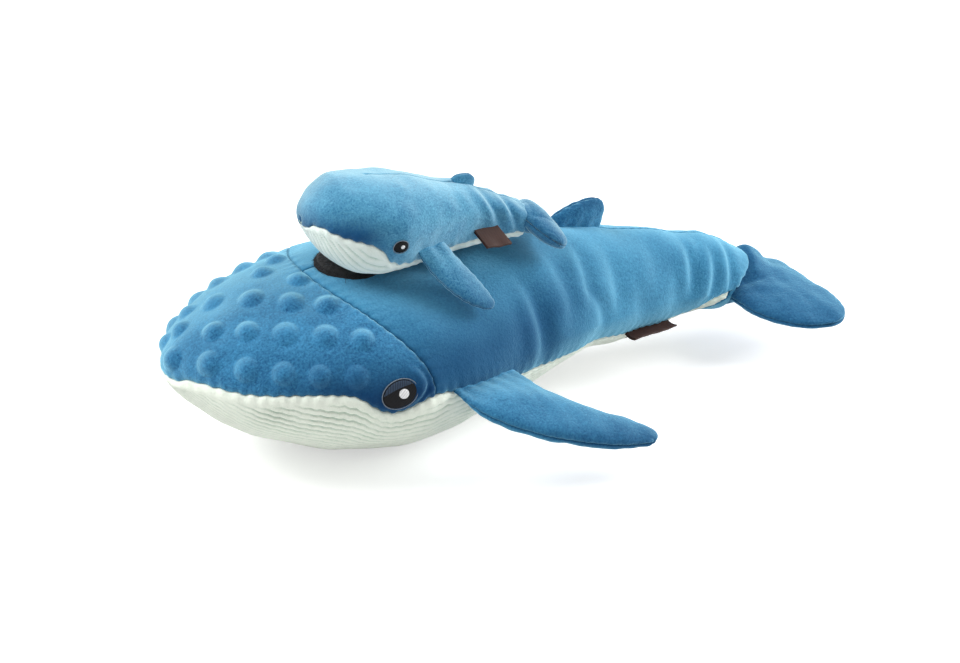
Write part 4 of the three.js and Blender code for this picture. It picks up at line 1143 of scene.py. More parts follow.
def bulged(fin, base, way, root):
    """Raises a fluke's middle to the end section of the body.

    The height is the fourth root of the sum of the fourth powers of its own height and of that
    section's, which fades behind the crease as a cosine to the power 1.3, sinks into it and goes on
    inside the body. The far lobe hangs lower by the root's hang.
    """
    half, top, side, bottom, squareness = (float(v) for v in section(root["body"], np.array(root["x"])))
    power = 2 if way > 0 else squareness
    across = clipped(1 - np.abs(base[..., 0] / (half + root["wider"])) ** power)
    tall = top - side + root["taller"] if way > 0 else side - bottom + 2
    crease = root["crease"] * clipped(1 - np.abs(base[..., 0]) / half) ** 0.5
    run = base[..., 1] * fin["side"] - crease * (way > 0)
    behind = np.cos(np.pi / 2 * clipped(run / root["long"])) ** 1.3
    swelled = tall * across ** (1 / power) * behind
    sink = np.where(run > 0, 1 - np.sqrt(1 - clipped(1 - run / root["roll"]) ** 2), 1 - 0.16 * run)
    swelled = np.maximum(swelled - root["sink"] * sink * (1.0 if way > 0 else 0.4), 0)
    sunk = fin["drop"] * clipped(np.abs(base[..., 0]) / fin["length"]) ** 1.5
    hang = far_hang(root["hang"], fin, base)
    own = np.abs(base[..., 2] + sunk)
    soft = (own ** 4 + swelled ** 4) ** (1 / 4)
    raised = base.copy()
    raised[..., 2] = way * soft - sunk - hang + (side - root["height"]) * clipped(swelled / tall)
    return raised


def make_fluke(names, nodes, fin, place, root, material, move, rows, cols, seam, lumps, wall,
               seed, painted_shade=0.55):
    """The two panels of a tail fluke with both lobes: a paddle both ways from the middle, rolled
    into the seam round its edge, its front middle drawn into the end of the body."""
    s = np.linspace(-1, 1, rows)[:, None]
    v = np.linspace(0, 1, cols)[None, :]
    u = fin["length"] * np.sin(np.pi / 2 * s)
    middle = fin["middle"] + fin["sweep"] * (np.abs(u) / fin["length"]) ** fin["bend"]
    for name, node_name, way in zip(names, nodes, (1, -1)):
        turn = np.pi * v * way
        base = bulged(fin, paddle_point(fin, u, turn), way, root)
        core = points_at(u, fin["side"] * middle, -60.0 * way)
        _, along, to_edge, _ = runs(base)
        patterned = in_frame(place, base)
        lift = 0.5 + lumps * swell(patterned, 24, seed) + 0.4 * lumps * swell(patterned, 10, seed + 1)
        lift = lift + tuck(to_edge, *seam) + 0.6 * pucker(to_edge, along, 3.5, seed)
        # painted shade: the whole fluke darkened evenly by its painted_shade value
        piece = panel(name, base, core, lift, material, wall=wall,
                      marks={"groove_shade": painted_seam_shade(to_edge, 0.9), "painted_shade": painted_shade},
                      place=lambda p: move(in_frame(place, p)))
        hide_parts(node_name)
        yield piece


FLUKE = dict(length=69.5, chord=58, middle=11.6, sweep=18.9, bend=2.4, drop=11.8, thickness=15,
             root_thickness=15, blend=42, side=1, swell=0.1, blunt=4.6)
FLUKE_ROOT = dict(body=MOTHER, x=207.0, height=FLUKE_HEIGHT, long=24.0, crease=8.0, roll=4.0, sink=1.8,
                  wider=0.5, taller=-2.5, hang=6.5)
FLUKE_PLACE = dict(origin=np.array([FLUKE_X, 0.0, FLUKE_HEIGHT]),
                   axes=np.array([[0, -1.0, 0], [1.0, 0, 0], [0, 0, 1.0]]))


def make_mother_fluke():
    """Her fluke's two panels and their filling."""
    pieces = make_fluke(["tail_fluke_upper_skin", "tail_fluke_lower_skin"],
                        ["tail_fluke_upper", "tail_fluke_lower"], FLUKE, FLUKE_PLACE, FLUKE_ROOT,
                        FIN_PLUSH, same, rows=193, cols=81, seam=(4.0, 1.7),
                        lumps=0.5, wall=1.8, seed=51)
    for piece in pieces:
        across_fluke(piece)
    across_fluke(make_padding("tail_fluke_padding_fill", "tail_fluke_padding", FLUKE, FLUKE_PLACE,
                              both_ways=True, inset=4.2, hang=FLUKE_ROOT["hang"]))


make_pectorals()
make_dorsal()
make_mother_fluke()

# Skin patches that lie on a body: eyes, hook and loop discs


def surface_frame(body, x, angle, turn):
    """A point's frame on a body's side: X along the body, Y up the skin and Z outwards."""
    step = 0.5
    way = math.copysign(1, angle)

    def at(dx, da):
        return body_point(body, np.array(float(x + dx)), angle + da)

    along = unit(at(step, 0) - at(-step, 0)) * way
    climb = unit((at(0, -step) - at(0, step)) * way)
    out = unit(np.cross(along, climb))
    up = np.cross(out, along)
    c, s = math.cos(math.radians(turn)), math.sin(math.radians(turn))
    return dict(origin=at(0, 0), axes=np.stack([c * along + s * up, c * up - s * along, out]))


USUAL_RADIUS = 45


def skin_height(body, place, x, angle, reach):
    """The skin's height over its tangent plane, as a fitted polynomial of the two flat lengths.

    The skin is sampled round x and angle. The radius that turns lengths into angles is the mean of
    half the body's width there and the usual radius.
    """
    dx, da = np.meshgrid(np.linspace(-reach, reach, 41), np.linspace(-reach * 1.1, reach * 1.1, 41))
    radius = 0.5 * (section(body, np.array(float(x)))[0] + USUAL_RADIUS)
    local = body_point(body, x + dx, angle + np.degrees(da / radius)) - place["origin"]
    local = (local @ place["axes"].T).reshape(-1, 3)
    local = local[np.hypot(local[:, 0], local[:, 1]) < reach]
    powers = [(i, j) for i in range(5) for j in range(5 - i)]

    def terms(a, b):
        return np.stack([(a / reach) ** i * (b / reach) ** j for i, j in powers], axis=-1)

    factors = np.linalg.lstsq(terms(local[:, 0], local[:, 1]), local[:, 2], rcond=None)[0]
    return lambda a, b: terms(a, b) @ factors


def disc_faces(rings, spokes):
    """A disc of rings round a middle point, closed by the same disc behind it."""
    count = rings * spokes
    ring = 1 + np.arange(count).reshape(rings, spokes)
    after = np.roll(ring, -1, axis=1)
    fan = np.stack([np.zeros(spokes, int), ring[0], after[0]], axis=-1)
    quads = np.stack([ring[:-1], ring[1:], after[1:], after[:-1]], axis=-1).reshape(-1, 4)
    back = 1 + count
    rim = np.stack([ring[-1], ring[-1] + back, after[-1] + back, after[-1]], axis=-1)
    return [fan, quads, fan[:, ::-1] + back, quads[:, ::-1] + back, rim]


def stitched_shape(name, outline, height, place, lift, thickness, dome, material, move,
                   stitch_turn=0.0, rings=14):
    """A stitched shape on the skin: the outline drawn in by rings, domed, and closed behind."""
    spokes = len(outline)
    share = np.linspace(0, 1, rings + 1)[1:]
    centre = outline.mean(axis=0)
    flat = centre + (outline - centre) * share[:, None, None]
    flat = np.concatenate([centre[None], flat.reshape(-1, 2)])
    share = np.concatenate([[0], np.repeat(share, spokes)])
    rise = dome * np.sqrt(np.maximum(1 - share ** 4, 0))
    skin = height(flat[:, 0], flat[:, 1])
    front = np.column_stack([flat, skin + lift + thickness * (0.35 + 0.65 * rise / max(dome, 1e-6)) + rise])
    rear = np.column_stack([flat, skin + lift])
    points = np.concatenate([front, rear])
    c, s = math.cos(stitch_turn), math.sin(stitch_turn)
    stitch = np.concatenate([flat, flat]) @ np.array([[c, -s], [s, c]])
    return make_piece(name, move(in_frame(place, points)), disc_faces(rings, spokes), material,
                      stitch=stitch)


def oval(length, tall, spokes=72):
    """An ellipse's outline: half the length times the cosine, half the height times the sine."""
    turn = np.linspace(0, 2 * np.pi, spokes, endpoint=False)
    return np.column_stack([0.5 * length * np.cos(turn), 0.5 * tall * np.sin(turn)])


def stitched_ring(name, outline, height, place, lift, width, material, move, carrier):
    """A satin outline: a flattened round bead that follows the outline on the skin."""
    spokes, sides = len(outline), 8
    out = unit(outline - outline.mean(axis=0))
    turn = np.linspace(0, 2 * np.pi, sides, endpoint=False)
    flat = outline[:, None, :] + out[:, None, :] * (0.5 * width * np.cos(turn))[None, :, None]
    skin = height(flat[..., 0], flat[..., 1])
    tall = skin + lift + 0.45 * width * np.sin(turn)[None, :]
    points = np.concatenate([flat, tall[..., None]], axis=-1)
    index = np.arange(spokes * sides).reshape(spokes, sides)
    after, beside = np.roll(index, -1, axis=0), np.roll(index, -1, axis=1)
    both = np.roll(after, -1, axis=1)
    quads = np.stack([index, after, both, beside], axis=-1).reshape(-1, 4)
    run = np.repeat(np.linspace(0, np.linalg.norm(np.diff(outline, axis=0), axis=1).sum(), spokes), sides)
    stitch = np.column_stack([np.tile(turn, spokes), run])
    piece = make_piece(name, move(in_frame(place, points)).reshape(-1, 3), [quads], material,
                       stitch=stitch)
    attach(piece, carrier)


def make_eyes(body, carrier, prefix, x, angle, tilt, size, spot, spot_radius, lid, reach, move, sunk):
    """Both eyes of a body: an oval patch, a lid cut off by a shallow arc, a round highlight and a ring of
    thread, all laid on the skin's tangent plane at its height."""
    for name, side in (("left", 1), ("right", -1)):
        place = surface_frame(body, x, side * angle, side * tilt)
        height = skin_height(body, place, x, side * angle, reach)
        start = f"{prefix}eye_{name}"
        whole = oval(*size)
        lift = -sunk
        patch = stitched_shape(f"{start}_patch_stitch", whole, height, place, lift, 0.9, 0.5,
                               BLACK_THREAD, move, stitch_turn=0.5)
        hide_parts(f"{start}_patch")
        pieces = [patch]
        if lid:
            turn = np.linspace(0.12, 0.88, 60) * np.pi
            bow = np.column_stack([0.47 * size[0] * np.cos(turn), 0.47 * size[1] * np.sin(turn)])
            low = np.linspace(bow[-1], bow[0], 26)[1:-1]
            low[:, 1] += 0.7 * np.sin(np.linspace(0, np.pi, 26)[1:-1])
            flap = np.concatenate([bow, low])
            shape = stitched_shape(f"{start}_lid_stitch", flap, height, place, lift + 1.05, 0.35, 0.25,
                                   LID_THREAD, move, stitch_turn=1.1, rings=8)
            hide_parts(f"{start}_lid")
            pieces.append(shape)
        centre = np.array([side * spot[0], spot[1]])
        spot_outline = centre + oval(2 * spot_radius, 2 * spot_radius, 40)
        light = stitched_shape(f"{start}_highlight_stitch", spot_outline, height, place, lift + 1.1, 0.4,
                               0.3, SILVER_THREAD, move, stitch_turn=0.5, rings=7)
        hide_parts(f"{start}_highlight")
        pieces.append(light)
        for piece in pieces:
            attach(piece, carrier)
        stitched_ring(f"{start}_ring", oval(size[0] + 0.7, size[1] + 0.7, 120), height, place, lift + 0.75,
                      0.6 if lid else 0.45, RING_THREAD, move, carrier)


make_eyes(MOTHER, "mother", "", EYE_X, EYE_ANGLE, tilt=17.0, size=(21.0, 16.4), spot=(2.0, -0.4),
          spot_radius=3.1, lid=True, reach=18.0, move=same, sunk=0.9)


def skin_top(x, y, lift=0.0):
    """The height of her back over a point in plan, for points inside her outline."""
    half, top, side, _, _ = section(MOTHER, x)
    inside = clipped(1 - (y / (half + lift)) ** 2)
    return side + (top + lift - side) * np.sqrt(inside)


PATCH_MIDDLE = (-76.0, -6.0)


def make_patch(name, node_name, radius, lift, thickness, ragged, material, carrier, seed):
    """A round woven disc on her back, its cut edge a little ragged and its pile uneven."""
    rings, spokes = 34, 160
    turn = np.linspace(0, 2 * np.pi, spokes, endpoint=False)
    draw = np.random.default_rng(seed)
    edge = radius - ragged + ragged * (
        0.4 * np.sin(7 * turn + 1) * np.sin(11 * turn) + 0.35 * draw.uniform(-1, 1, spokes))
    outline = np.column_stack([edge * np.cos(turn), edge * np.sin(turn)])
    share = np.linspace(0, 1, rings + 1)[1:]
    flat = np.concatenate([[[0, 0]], (outline * share[:, None, None]).reshape(-1, 2)])
    share = np.concatenate([[0], np.repeat(share, spokes)])
    x, y = (flat + PATCH_MIDDLE).T
    skin = skin_top(x, y)
    points = np.column_stack([x, y, skin])
    pile = 0.22 * swell(points, 2.6, seed) + 0.15 * swell(points, 6, seed + 1)
    rise = thickness * np.sqrt(np.maximum(1 - share ** 14, 0)) * (1 + pile * (share < 0.995))
    front = np.column_stack([x, y, skin + lift + rise])
    rear = np.column_stack([x, y, skin + lift])
    piece = make_piece(name, np.concatenate([front, rear]), disc_faces(rings, spokes), material)
    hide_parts(node_name)
    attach(piece, carrier)
    return outline


def make_strands(name, roots, ways, lengths, thickness, material, carrier, seed, droop=0.3):
    """Short loose threads: three-sided tubes of six rings whose path bends aside and down as the
    square of the share of its length, thinner towards the tip."""
    draw = np.random.default_rng(seed)
    count, rings, sides = len(roots), 6, 3
    s = np.linspace(0, 1, rings)[None, :, None]
    bend = draw.normal(size=(count, 1, 3)) * 0.45
    path = roots[:, None, :] + lengths[:, None, None] * (
        ways[:, None, :] * s + bend * s ** 2 + np.array([0, 0, -droop]) * s ** 2)
    turn = np.linspace(0, 2 * np.pi, sides, endpoint=False)
    tip = 1 - 0.75 * s[..., 0] ** 3
    side_way = unit(np.cross(ways, draw.normal(size=(count, 3))))[:, None, :]
    other = unit(np.cross(ways[:, None, :], side_way))
    ring = (side_way[:, :, None, :] * np.cos(turn)[:, None] + other[:, :, None, :] * np.sin(turn)[:, None])
    points = path[:, :, None, :] + ring * (thickness * tip)[..., None, None]
    index = np.arange(count * rings * sides).reshape(count, rings, sides)
    beside = np.roll(index, -1, axis=2)
    quads = np.stack([index[:, :-1], beside[:, :-1], beside[:, 1:], index[:, 1:]], axis=-1).reshape(-1, 4)
    caps = np.concatenate([index[:, 0, ::-1], index[:, -1]])
    piece = make_piece(name, points.reshape(-1, 3), [quads, caps], material)
    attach(piece, carrier)


def make_patches():
    """The loop disc on her back, the hook disc under the calf, and what frays from the loop disc: a
    fringe of 420 short strands round its edge and three long ones."""
    outline = make_patch("loop_patch_pile", "loop_patch", radius=23.3, lift=0.3, thickness=1.9,
                         ragged=0.5, material=BLACK_LOOP, carrier="mother",
                         seed=61)
    make_patch("calf_hook_patch_pile", "calf_hook_patch", radius=21.2, lift=2.3, thickness=1.4,
               ragged=0.3, material=BLACK_HOOK, carrier="calf", seed=62)
    draw = np.random.default_rng(63)
    count = 420
    pick = draw.integers(0, len(outline), count)
    flat = outline[pick] * draw.uniform(0.93, 1.0, (count, 1))
    x, y = (flat + PATCH_MIDDLE).T
    roots = np.column_stack([x, y, skin_top(x, y) + draw.uniform(0.5, 1.9, count)])
    ways = unit(np.column_stack([unit(outline[pick]), draw.uniform(-0.1, 0.5, count)])
                + 0.5 * draw.normal(size=(count, 3)))
    make_strands("loop_patch_fringe", roots, ways, draw.uniform(0.7, 2.0, count), 0.07, BLACK_LOOP,
                 "mother", 64)
    ends = np.array([[-97.5, -13.5, 0], [-96.8, -14.6, 0], [-89.5, -25.6, 0]], float)
    ends[:, 2] = skin_top(ends[:, 0], ends[:, 1]) + 1.2
    ways = unit(np.array([[-0.8, -0.35, 0.45], [-0.7, -0.2, 0.8], [-0.5, -0.8, 0.1]]))
    make_strands("loop_patch_threads", ends, ways, np.array([5.5, 4.0, 4.0]), 0.14, BLACK_LOOP,
                 "mother", 65, droop=0.2)


make_patches()

# Labels


TAPE_THICK = 0.62
TAPE_GAP = 0.55
TAPE_BURIED = 2.2


def make_label(name, node_name, body, x, angle, length, flap, tilt, move, keep, seed,
               bend):
    """A woven tape folded in half, its cut ends in the side seam.

    Its path is a U: a leg out, half a circle of the tape's fold radius and a leg back. Slow waves
    and the bend lift it as the square of the share of the flap.
    """
    def at(share):
        return stood_off(body, x + share * length, angle)

    out = np.array([0, -math.cos(math.radians(tilt)), -math.sin(math.radians(tilt))])
    along = unit(at(0.5) - at(-0.5))
    out = unit(out - along * (out @ along))
    place = dict(origin=at(0.0), axes=np.stack([out, np.cross(along, out), along]))
    radius = 0.5 * (TAPE_GAP + TAPE_THICK)
    leg = flap - radius - 0.5 * TAPE_THICK
    total = 2 * (leg + TAPE_BURIED) + np.pi * radius
    s = np.linspace(0, total, 65)[:, None]
    w = np.linspace(-0.5, 0.5, 61)[None, :] * length
    turn = np.clip((s - leg - TAPE_BURIED) / radius, 0, np.pi)
    straight = np.where(turn <= 0, s - TAPE_BURIED,
                        np.where(turn >= np.pi, total - s - TAPE_BURIED, leg))
    px = straight + radius * np.sin(turn)
    py = radius * np.cos(turn)
    wave = 0.5 * np.sin(2 * np.pi * w / (0.9 * length) + seed) + 0.25 * np.sin(2 * np.pi * w / 9 + seed)
    curl = (px / flap) ** 2 * (0.6 * wave - bend)
    slack = 1 + 0.02 * np.sin(w / 5)
    middle = points_at(px * slack, py + curl, w)
    normal = points_at(np.sin(turn), np.cos(turn), 0)
    rim = 1 - 0.35 * np.exp(-((np.abs(w) - 0.5 * length) / 0.5) ** 2)
    front = middle + normal * (0.5 * TAPE_THICK * rim)[..., None]
    back = middle - normal * (0.5 * TAPE_THICK * rim)[..., None]
    rows, cols = front.shape[:2]
    points = np.concatenate([front.reshape(-1, 3), back.reshape(-1, 3)])
    flat = np.stack(np.broadcast_arrays(s, w), axis=-1).reshape(-1, 2)
    turned = outward(front, middle - normal * 3)[1]
    piece = make_piece(name, move(in_frame(place, points)), shell_faces(rows, cols, 1, turned),
                       BROWN_RIBBON, stitch=np.concatenate([flat, flat]))
    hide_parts(node_name)
    hinged(piece, place, keep, move)
    return place


def make_label_threads(place):
    """Two loose thread ends at the rear corner of her label, written in the label's own frame."""
    roots = in_frame(place, np.array([[1.0, 0.4, -18.3], [0.6, -0.3, -18.6]]))
    ways = unit(np.array([[-0.7, -0.5, 0.35], [-0.5, -0.8, -0.2]]))
    make_strands("side_label_threads", roots, ways, np.array([4.5, 3.0]), 0.14, BROWN_RIBBON,
                 "mother", 71)


LABEL_X = 121.0
make_label_threads(make_label(
    "side_label_ribbon", "side_label", MOTHER, x=LABEL_X, angle=float(mother_seam(np.array(LABEL_X))),
    length=36, flap=7.5, tilt=20, move=same, keep=3.0, seed=0.4,
    bend=3.0))

# Calf


def calf_seam(x):
    """The angle of the calf's side seams at x."""
    return seam_angle(CALF, CALF_SEAM, x, 0.35)


def calf_crease_x(point):
    """Where the calf's body ends round her fluke, leaning back towards the top."""
    return CALF_FLUKE_X + 0.35 * (point[..., 2] - CALF_FLUKE_HEIGHT)


SEAT_GAP = 4.3


def on_seat(points):
    """Calf points in her mother's frame, none lower than the patches allow.

    Low points drop as the mother's back falls away from its crown beside the calf, by 9 mm at most.
    What would then lie below the seat is pressed up, softly, along log(1 + e^over).
    """
    moved = from_calf(points)
    crown = skin_top(moved[..., 0], np.full_like(moved[..., 1], CALF_NOSE[1]))
    rounded = crown - skin_top(moved[..., 0], moved[..., 1])
    low = soft_step((140 - moved[..., 2]) / 16)
    moved[..., 2] -= clipped(rounded / 9) * 9 * low * (np.abs(moved[..., 1]) < 60)
    floor = skin_top(moved[..., 0], moved[..., 1]) + SEAT_GAP
    over = moved[..., 2] - floor
    soft = 1.2
    pressed = floor + soft * np.logaddexp(0, over / soft)
    near = (np.abs(moved[..., 1]) < 80) & (over < 8)
    moved[..., 2] = np.where(near, pressed, moved[..., 2])
    return moved


def calf_folds(points, angle):
    """Folds round the calf's tail: a valley e^-off^2 behind a shoulder, off counting widths from a
    line that leans with the height, and fading as e^-|share|^3 with the angle."""
    folds = [(97, 0.3, 0.35, 5.0, 60, 34), (108, 0.4, 0.45, 3.5, 66, 36), (118.5, 0.45, 1.5, 2.5, 62, 50),
             (129.5, 0.45, 1.6, 2.3, 60, 48)]
    total = np.zeros(points.shape[:-1])
    for x, lean, depth, width, middle, spread in folds:
        for side in (1, -1):
            off = (points[..., 0] - x + lean * (points[..., 2] - 133)) / width
            round_ = np.exp(-np.abs((angle * side - middle) / spread) ** 3)
            total += depth * round_ * (0.5 * np.exp(-((off + 1.7) / 1.1) ** 2) - np.exp(-off ** 2))
    return total


def calf_lumps(points):
    """Slow swells of the calf's filling: 0.35 mm over about 34 mm and 0.2 mm over 14 mm."""
    return 0.35 * swell(points, 34, 81) + 0.2 * swell(points, 14, 82)


def calf_blend(piece):
    """Bakes the piece's place into its mesh; the points just before and behind her fluke's crease are
    worked out and not used.
    """
    start = from_calf(np.array([CALF_FLUKE_X - 7, 0, CALF_FLUKE_HEIGHT + 4.0]))
    end = from_calf(np.array([CALF_FLUKE_X + 6, 0, CALF_FLUKE_HEIGHT - 4.5]))
    placed(start).tolist()
    placed(end).tolist()
    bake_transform(piece)


def make_calf_back():
    """The calf's upper panel: her skin from the nose to the fluke's crease and from seam to seam, with a
    dart along the spine that starts in a small dimple, lumps, folds and a tuck along each seam."""
    rows, cols = 169, 161
    u, v = shares(rows, cols, -1)
    start = CALF["nose_x"]
    end = settled(np.full(v.shape, 130.0), calf_crease_x,
                  lambda x: body_point(CALF, x, v * calf_seam(x)))
    x = start + (end - start) * near_start(u, 0.15)
    angle = v * calf_seam(x)
    angle[0] = 0
    base = body_point(CALF, x, angle)
    core = points_at(np.maximum(x, 15), 0, 140)
    across, along, to_side, to_rear = runs(base)
    to_spine = np.abs(across - across[:, cols // 2][:, None])
    dart = soft_step((x - 38) / 3)
    lift = calf_lumps(base) + calf_folds(base, angle) + tuck(to_side, 3.4, 1.3) + tuck(to_rear, 4.5, 3.2)
    dimple = np.exp(-((x - 40) / 3.5) ** 2)
    lift += dart * tuck(to_spine, 1.7, 0.7) + dart * dimple * tuck(to_spine, 2.2, 1.3)
    lift += pucker(to_side, along, 3.0) + 1.5 * pucker(to_rear, across, 4.0)
    shade = np.maximum.reduce([dart * painted_seam_shade(to_spine, 0.8), painted_seam_shade(to_side, 1.0),
                               painted_seam_shade(to_rear, 1.6)])
    # painted shade: darker on the snout's lower front, and towards the tail behind x 95
    painted_shade = 0.95 * soft_step((162 - base[..., 2]) / 18) * soft_step((48 - base[..., 0]) / 26)
    painted_shade += 0.35 * soft_step((base[..., 0] - 95) / 30)
    wall = 3.0 + 3.0 * np.exp(-(to_rear / 6) ** 2)
    piece = panel("calf_back_skin", base, core, lift, CALF_PLUSH, wall=wall,
                  marks={"groove_shade": shade, "painted_shade": painted_shade}, place=on_seat)
    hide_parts("calf_back_panel")
    calf_blend(piece)


CALF_WALE = 3.6


def make_calf_belly():
    """The calf's ribbed panel: her skin from seam to seam under the body, with ribs along it of
    1 - (1 - |sin|)^2, a smooth lip beside the seams and a tuck along them."""
    rows, cols = 169, 193
    u, v = shares(rows, cols)
    end = settled(np.full(v.shape, 130.0), calf_crease_x,
                  lambda x: body_point(CALF, x, round_under(calf_seam(x), v)))
    start = seam_start(calf_seam, CALF["nose_x"])
    x = start + (end - start) * near_start(u, 0.12)
    angle = round_under(calf_seam(x), v)
    base = body_point(CALF, x, angle)
    core = points_at(np.maximum(x, 15), 0, 140)
    across, along, to_side, to_rear = runs(base)
    from_middle = across - across[:, cols // 2][:, None]
    wander = 0.5 * swell(base * (1, 0.35, 0.35), 26, 83) + 0.2 * swell(base, 8, 84)
    ridge, valley = ridges(from_middle + wander, CALF_WALE)
    lip = soft_step((to_side - 2.5) / 2.5)
    lift = calf_lumps(base) + 0.85 * lip * (ridge - 1) + tuck(to_side, 2.8, 1.1) + tuck(to_rear, 4.5, 3.2)
    lift += 1.2 * pucker(to_side, along, 4.0, 5.0) + 1.5 * pucker(to_rear, across, 4.0)
    # painted shade in the valleys between the ribs, carried as groove_shade
    shade = clipped(0.8 * valley ** 1.5 * lip)
    wall = 3.0 + 3.0 * np.exp(-(to_rear / 6) ** 2)
    piece = panel("calf_belly_skin", base, core, lift, CALF_MINT_CORD,
                  wall=wall, marks={"groove_shade": shade}, place=on_seat)
    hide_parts("calf_belly_panel")
    calf_blend(piece)


def make_calf_fins():
    """The calf's two side fins: small paddles, the near one hanging and the far one spread."""
    fins = (("left", 1, (27, -25, -33)), ("right", -1, (28, 29, -15)))
    for name, side, reach in fins:
        place = fin_frame(stood_off(CALF, 60, side * 121.0), stood_off(CALF, 80, side * 121.0), reach)
        fin = dict(length=place["length"], chord=place["chord"], sweep=place["sweep"], thickness=7.5,
                   root_thickness=3.0, blend=0.35 * place["length"], side=place["side"], swell=0.1)
        body = f"calf_fin_{name}"
        names = [f"{body}_{part}_skin" for part in ("upper", "lower")]
        nodes = [f"{body}_{part}" for part in ("upper", "lower")]
        for piece in make_fin(names, nodes, fin, place, CALF_PLUSH, from_calf, rows=97,
                              cols=57, seam=(2.4, 1.0), plump=0.4, lumps=0.25, pleats=0.35, bury=2.5,
                              wall=1.2, seed=85):
            hinged(piece, place, 10, from_calf)


def make_calf_dorsal():
    """The calf's small fin on the spine: a short paddle stood on end."""
    place = fin_frame(stood_off(CALF, 94, 0.0), stood_off(CALF, 110, 0.0), (3, 0, 7))
    fin = dict(length=5.2, chord=16, middle=-1.0, sweep=2.0, bend=1.3, thickness=4.5, root_thickness=4.0,
               blend=3, side=place["side"], swell=-0.35, blunt=3.2)
    for piece in make_fin(["calf_dorsal_fin_right_skin", "calf_dorsal_fin_left_skin"],
                          ["calf_dorsal_fin_right", "calf_dorsal_fin_left"], fin, place, CALF_PLUSH,
                          from_calf, rows=49, cols=33, seam=(1.4, 0.6), plump=0.3,
                          bury=2.5, lumps=0.1, pleats=0.0, wall=0.9, seed=91):
        hinged(piece, place, 3.5, from_calf)


def calf_fluke_place():
    """The calf fluke's frame: across the tail, back along it and pitched down."""
    pitch = math.radians(32.5)
    c, s = math.cos(pitch), math.sin(pitch)
    return dict(origin=np.array([CALF_FLUKE_X, 0.0, CALF_FLUKE_HEIGHT]),
                axes=np.array([[0, -1.0, 0], [c, 0, -s], [s, 0, c]]))


def make_calf_fluke():
    """The calf's fluke: the mother's formulas with her own sizes, and both lobes alike."""
    fin = dict(length=22.5, chord=30, middle=8.6, sweep=11.8, bend=2.3, drop=4.6, thickness=12.5,
               root_thickness=10.5, blend=11, side=1, swell=0)
    root = dict(body=CALF, x=139.0, height=CALF_FLUKE_HEIGHT, long=18.0, crease=0.0, roll=4.0, sink=1.6,
                wider=0.5, taller=-0.5, hang=0.0)
    pieces = make_fluke(["calf_fluke_upper_skin", "calf_fluke_lower_skin"],
                        ["calf_fluke_upper", "calf_fluke_lower"], fin, calf_fluke_place(), root,
                        CALF_PLUSH, from_calf, rows=129, cols=57,
                        seam=(2.4, 1.0), lumps=0.25, wall=1.2, seed=95)
    for piece in pieces:
        calf_blend(piece)


make_calf_back()
make_calf_belly()
make_calf_fins()
make_calf_dorsal()
make_calf_fluke()
make_eyes(CALF, "calf", "calf_", 47.5, 103.0, tilt=0.0, size=(8.8, 8.0), spot=(0.8, 0.5),
          spot_radius=1.3, lid=False, reach=9.0, move=from_calf, sunk=0.4)
make_label("calf_side_label_ribbon", "calf_side_label", CALF, x=109, angle=116.0, length=17.5, flap=15,
           tilt=22, move=from_calf, keep=2.5, seed=1.3, bend=0.0)

# Filling of the two bodies


def make_filling(name, node_name, first, last, body, inset, move, carrier, height, radius, front=0,
                 rear=0):
    """Loose filling between two cross cuts: the body drawn in by inset, its cut ends flat except for
    a round pocket for the squeaker, of that radius about that height, front and rear deep."""
    nose = body["nose_x"] + inset
    drawn = dict(body, nose_x=nose, half_width=body["half_width"] - inset, top=body["top"] - inset,
                 bottom=body["bottom"] + inset, tail_half_width=body["tail_half_width"] - inset,
                 tail_top=body["tail_top"] - inset, tail_bottom=body["tail_bottom"] + inset)
    turn = np.linspace(0, 360, 73)[None, :]
    first = max(first, nose)
    u = np.linspace(0, 1, 57)[:, None]
    x = first + (last - first) * (near_start(u, 0.2) if first == nose else u)
    side = body_point(drawn, x, turn)
    side[:, -1] = side[:, 0]
    share = np.linspace(0, 1, 17)[:, None, None]

    def end(ring, depth, way):
        middle = np.array([ring[0, 0], 0, height])
        cap = middle + (ring - middle) * share
        away = np.linalg.norm((cap - middle)[..., 1:], axis=-1)
        cap[..., 0] += way * depth * clipped(1 - (away / radius) ** 8)
        return cap

    parts = [side] if first == nose else [end(side[0], front, 1)[:-1], side]
    parts.append(end(side[-1], rear, -1)[-2::-1])
    grid = np.concatenate(parts)
    grid = grid + 0.6 * np.stack([swell(grid, 15, seed) for seed in (1, 2, 3)], axis=-1)
    grid[:, -1] = grid[:, 0]
    rows, cols = grid.shape[:2]
    points = grid.reshape(-1, 3)
    faces = joined(tube_faces(rows, cols, False), closed_ends(points, [(0, rows, cols, True)]))
    piece = make_piece(name, move(points), faces, WHITE_FILL)
    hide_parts(node_name)
    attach(piece, carrier)


def calf_floor(points):
    """Calf filling in her mother's frame, kept above the seat and its cloth."""
    moved = from_calf(points)
    floor = skin_top(moved[..., 0], moved[..., 1]) + SEAT_GAP + 3.5
    near = np.abs(moved[..., 1]) < 80
    moved[..., 2] = np.where(near, np.maximum(moved[..., 2], floor), moved[..., 2])
    return moved


IN_MOTHER = dict(body=MOTHER, inset=7.0, move=same, carrier="mother", radius=26)
IN_CALF = dict(body=CALF, inset=4.5, move=calf_floor, carrier="calf", height=144, radius=14.5)

make_filling("head_filling", "head_stuffing", -195, -72.2, height=58, rear=13, **IN_MOTHER)
make_filling("body_filling", "body_stuffing", -71.8, 94.8, height=58, front=19, **IN_MOTHER)
make_filling("tail_filling", "tail_stuffing", 95.2, 190, height=46, **IN_MOTHER)
make_filling("calf_head_filling", "calf_head_stuffing", 0, 47.8, rear=9, **IN_CALF)
make_filling("calf_body_filling", "calf_body_stuffing", 48.2, 118, front=12, **IN_CALF)

# Inner pieces that stay as their solids


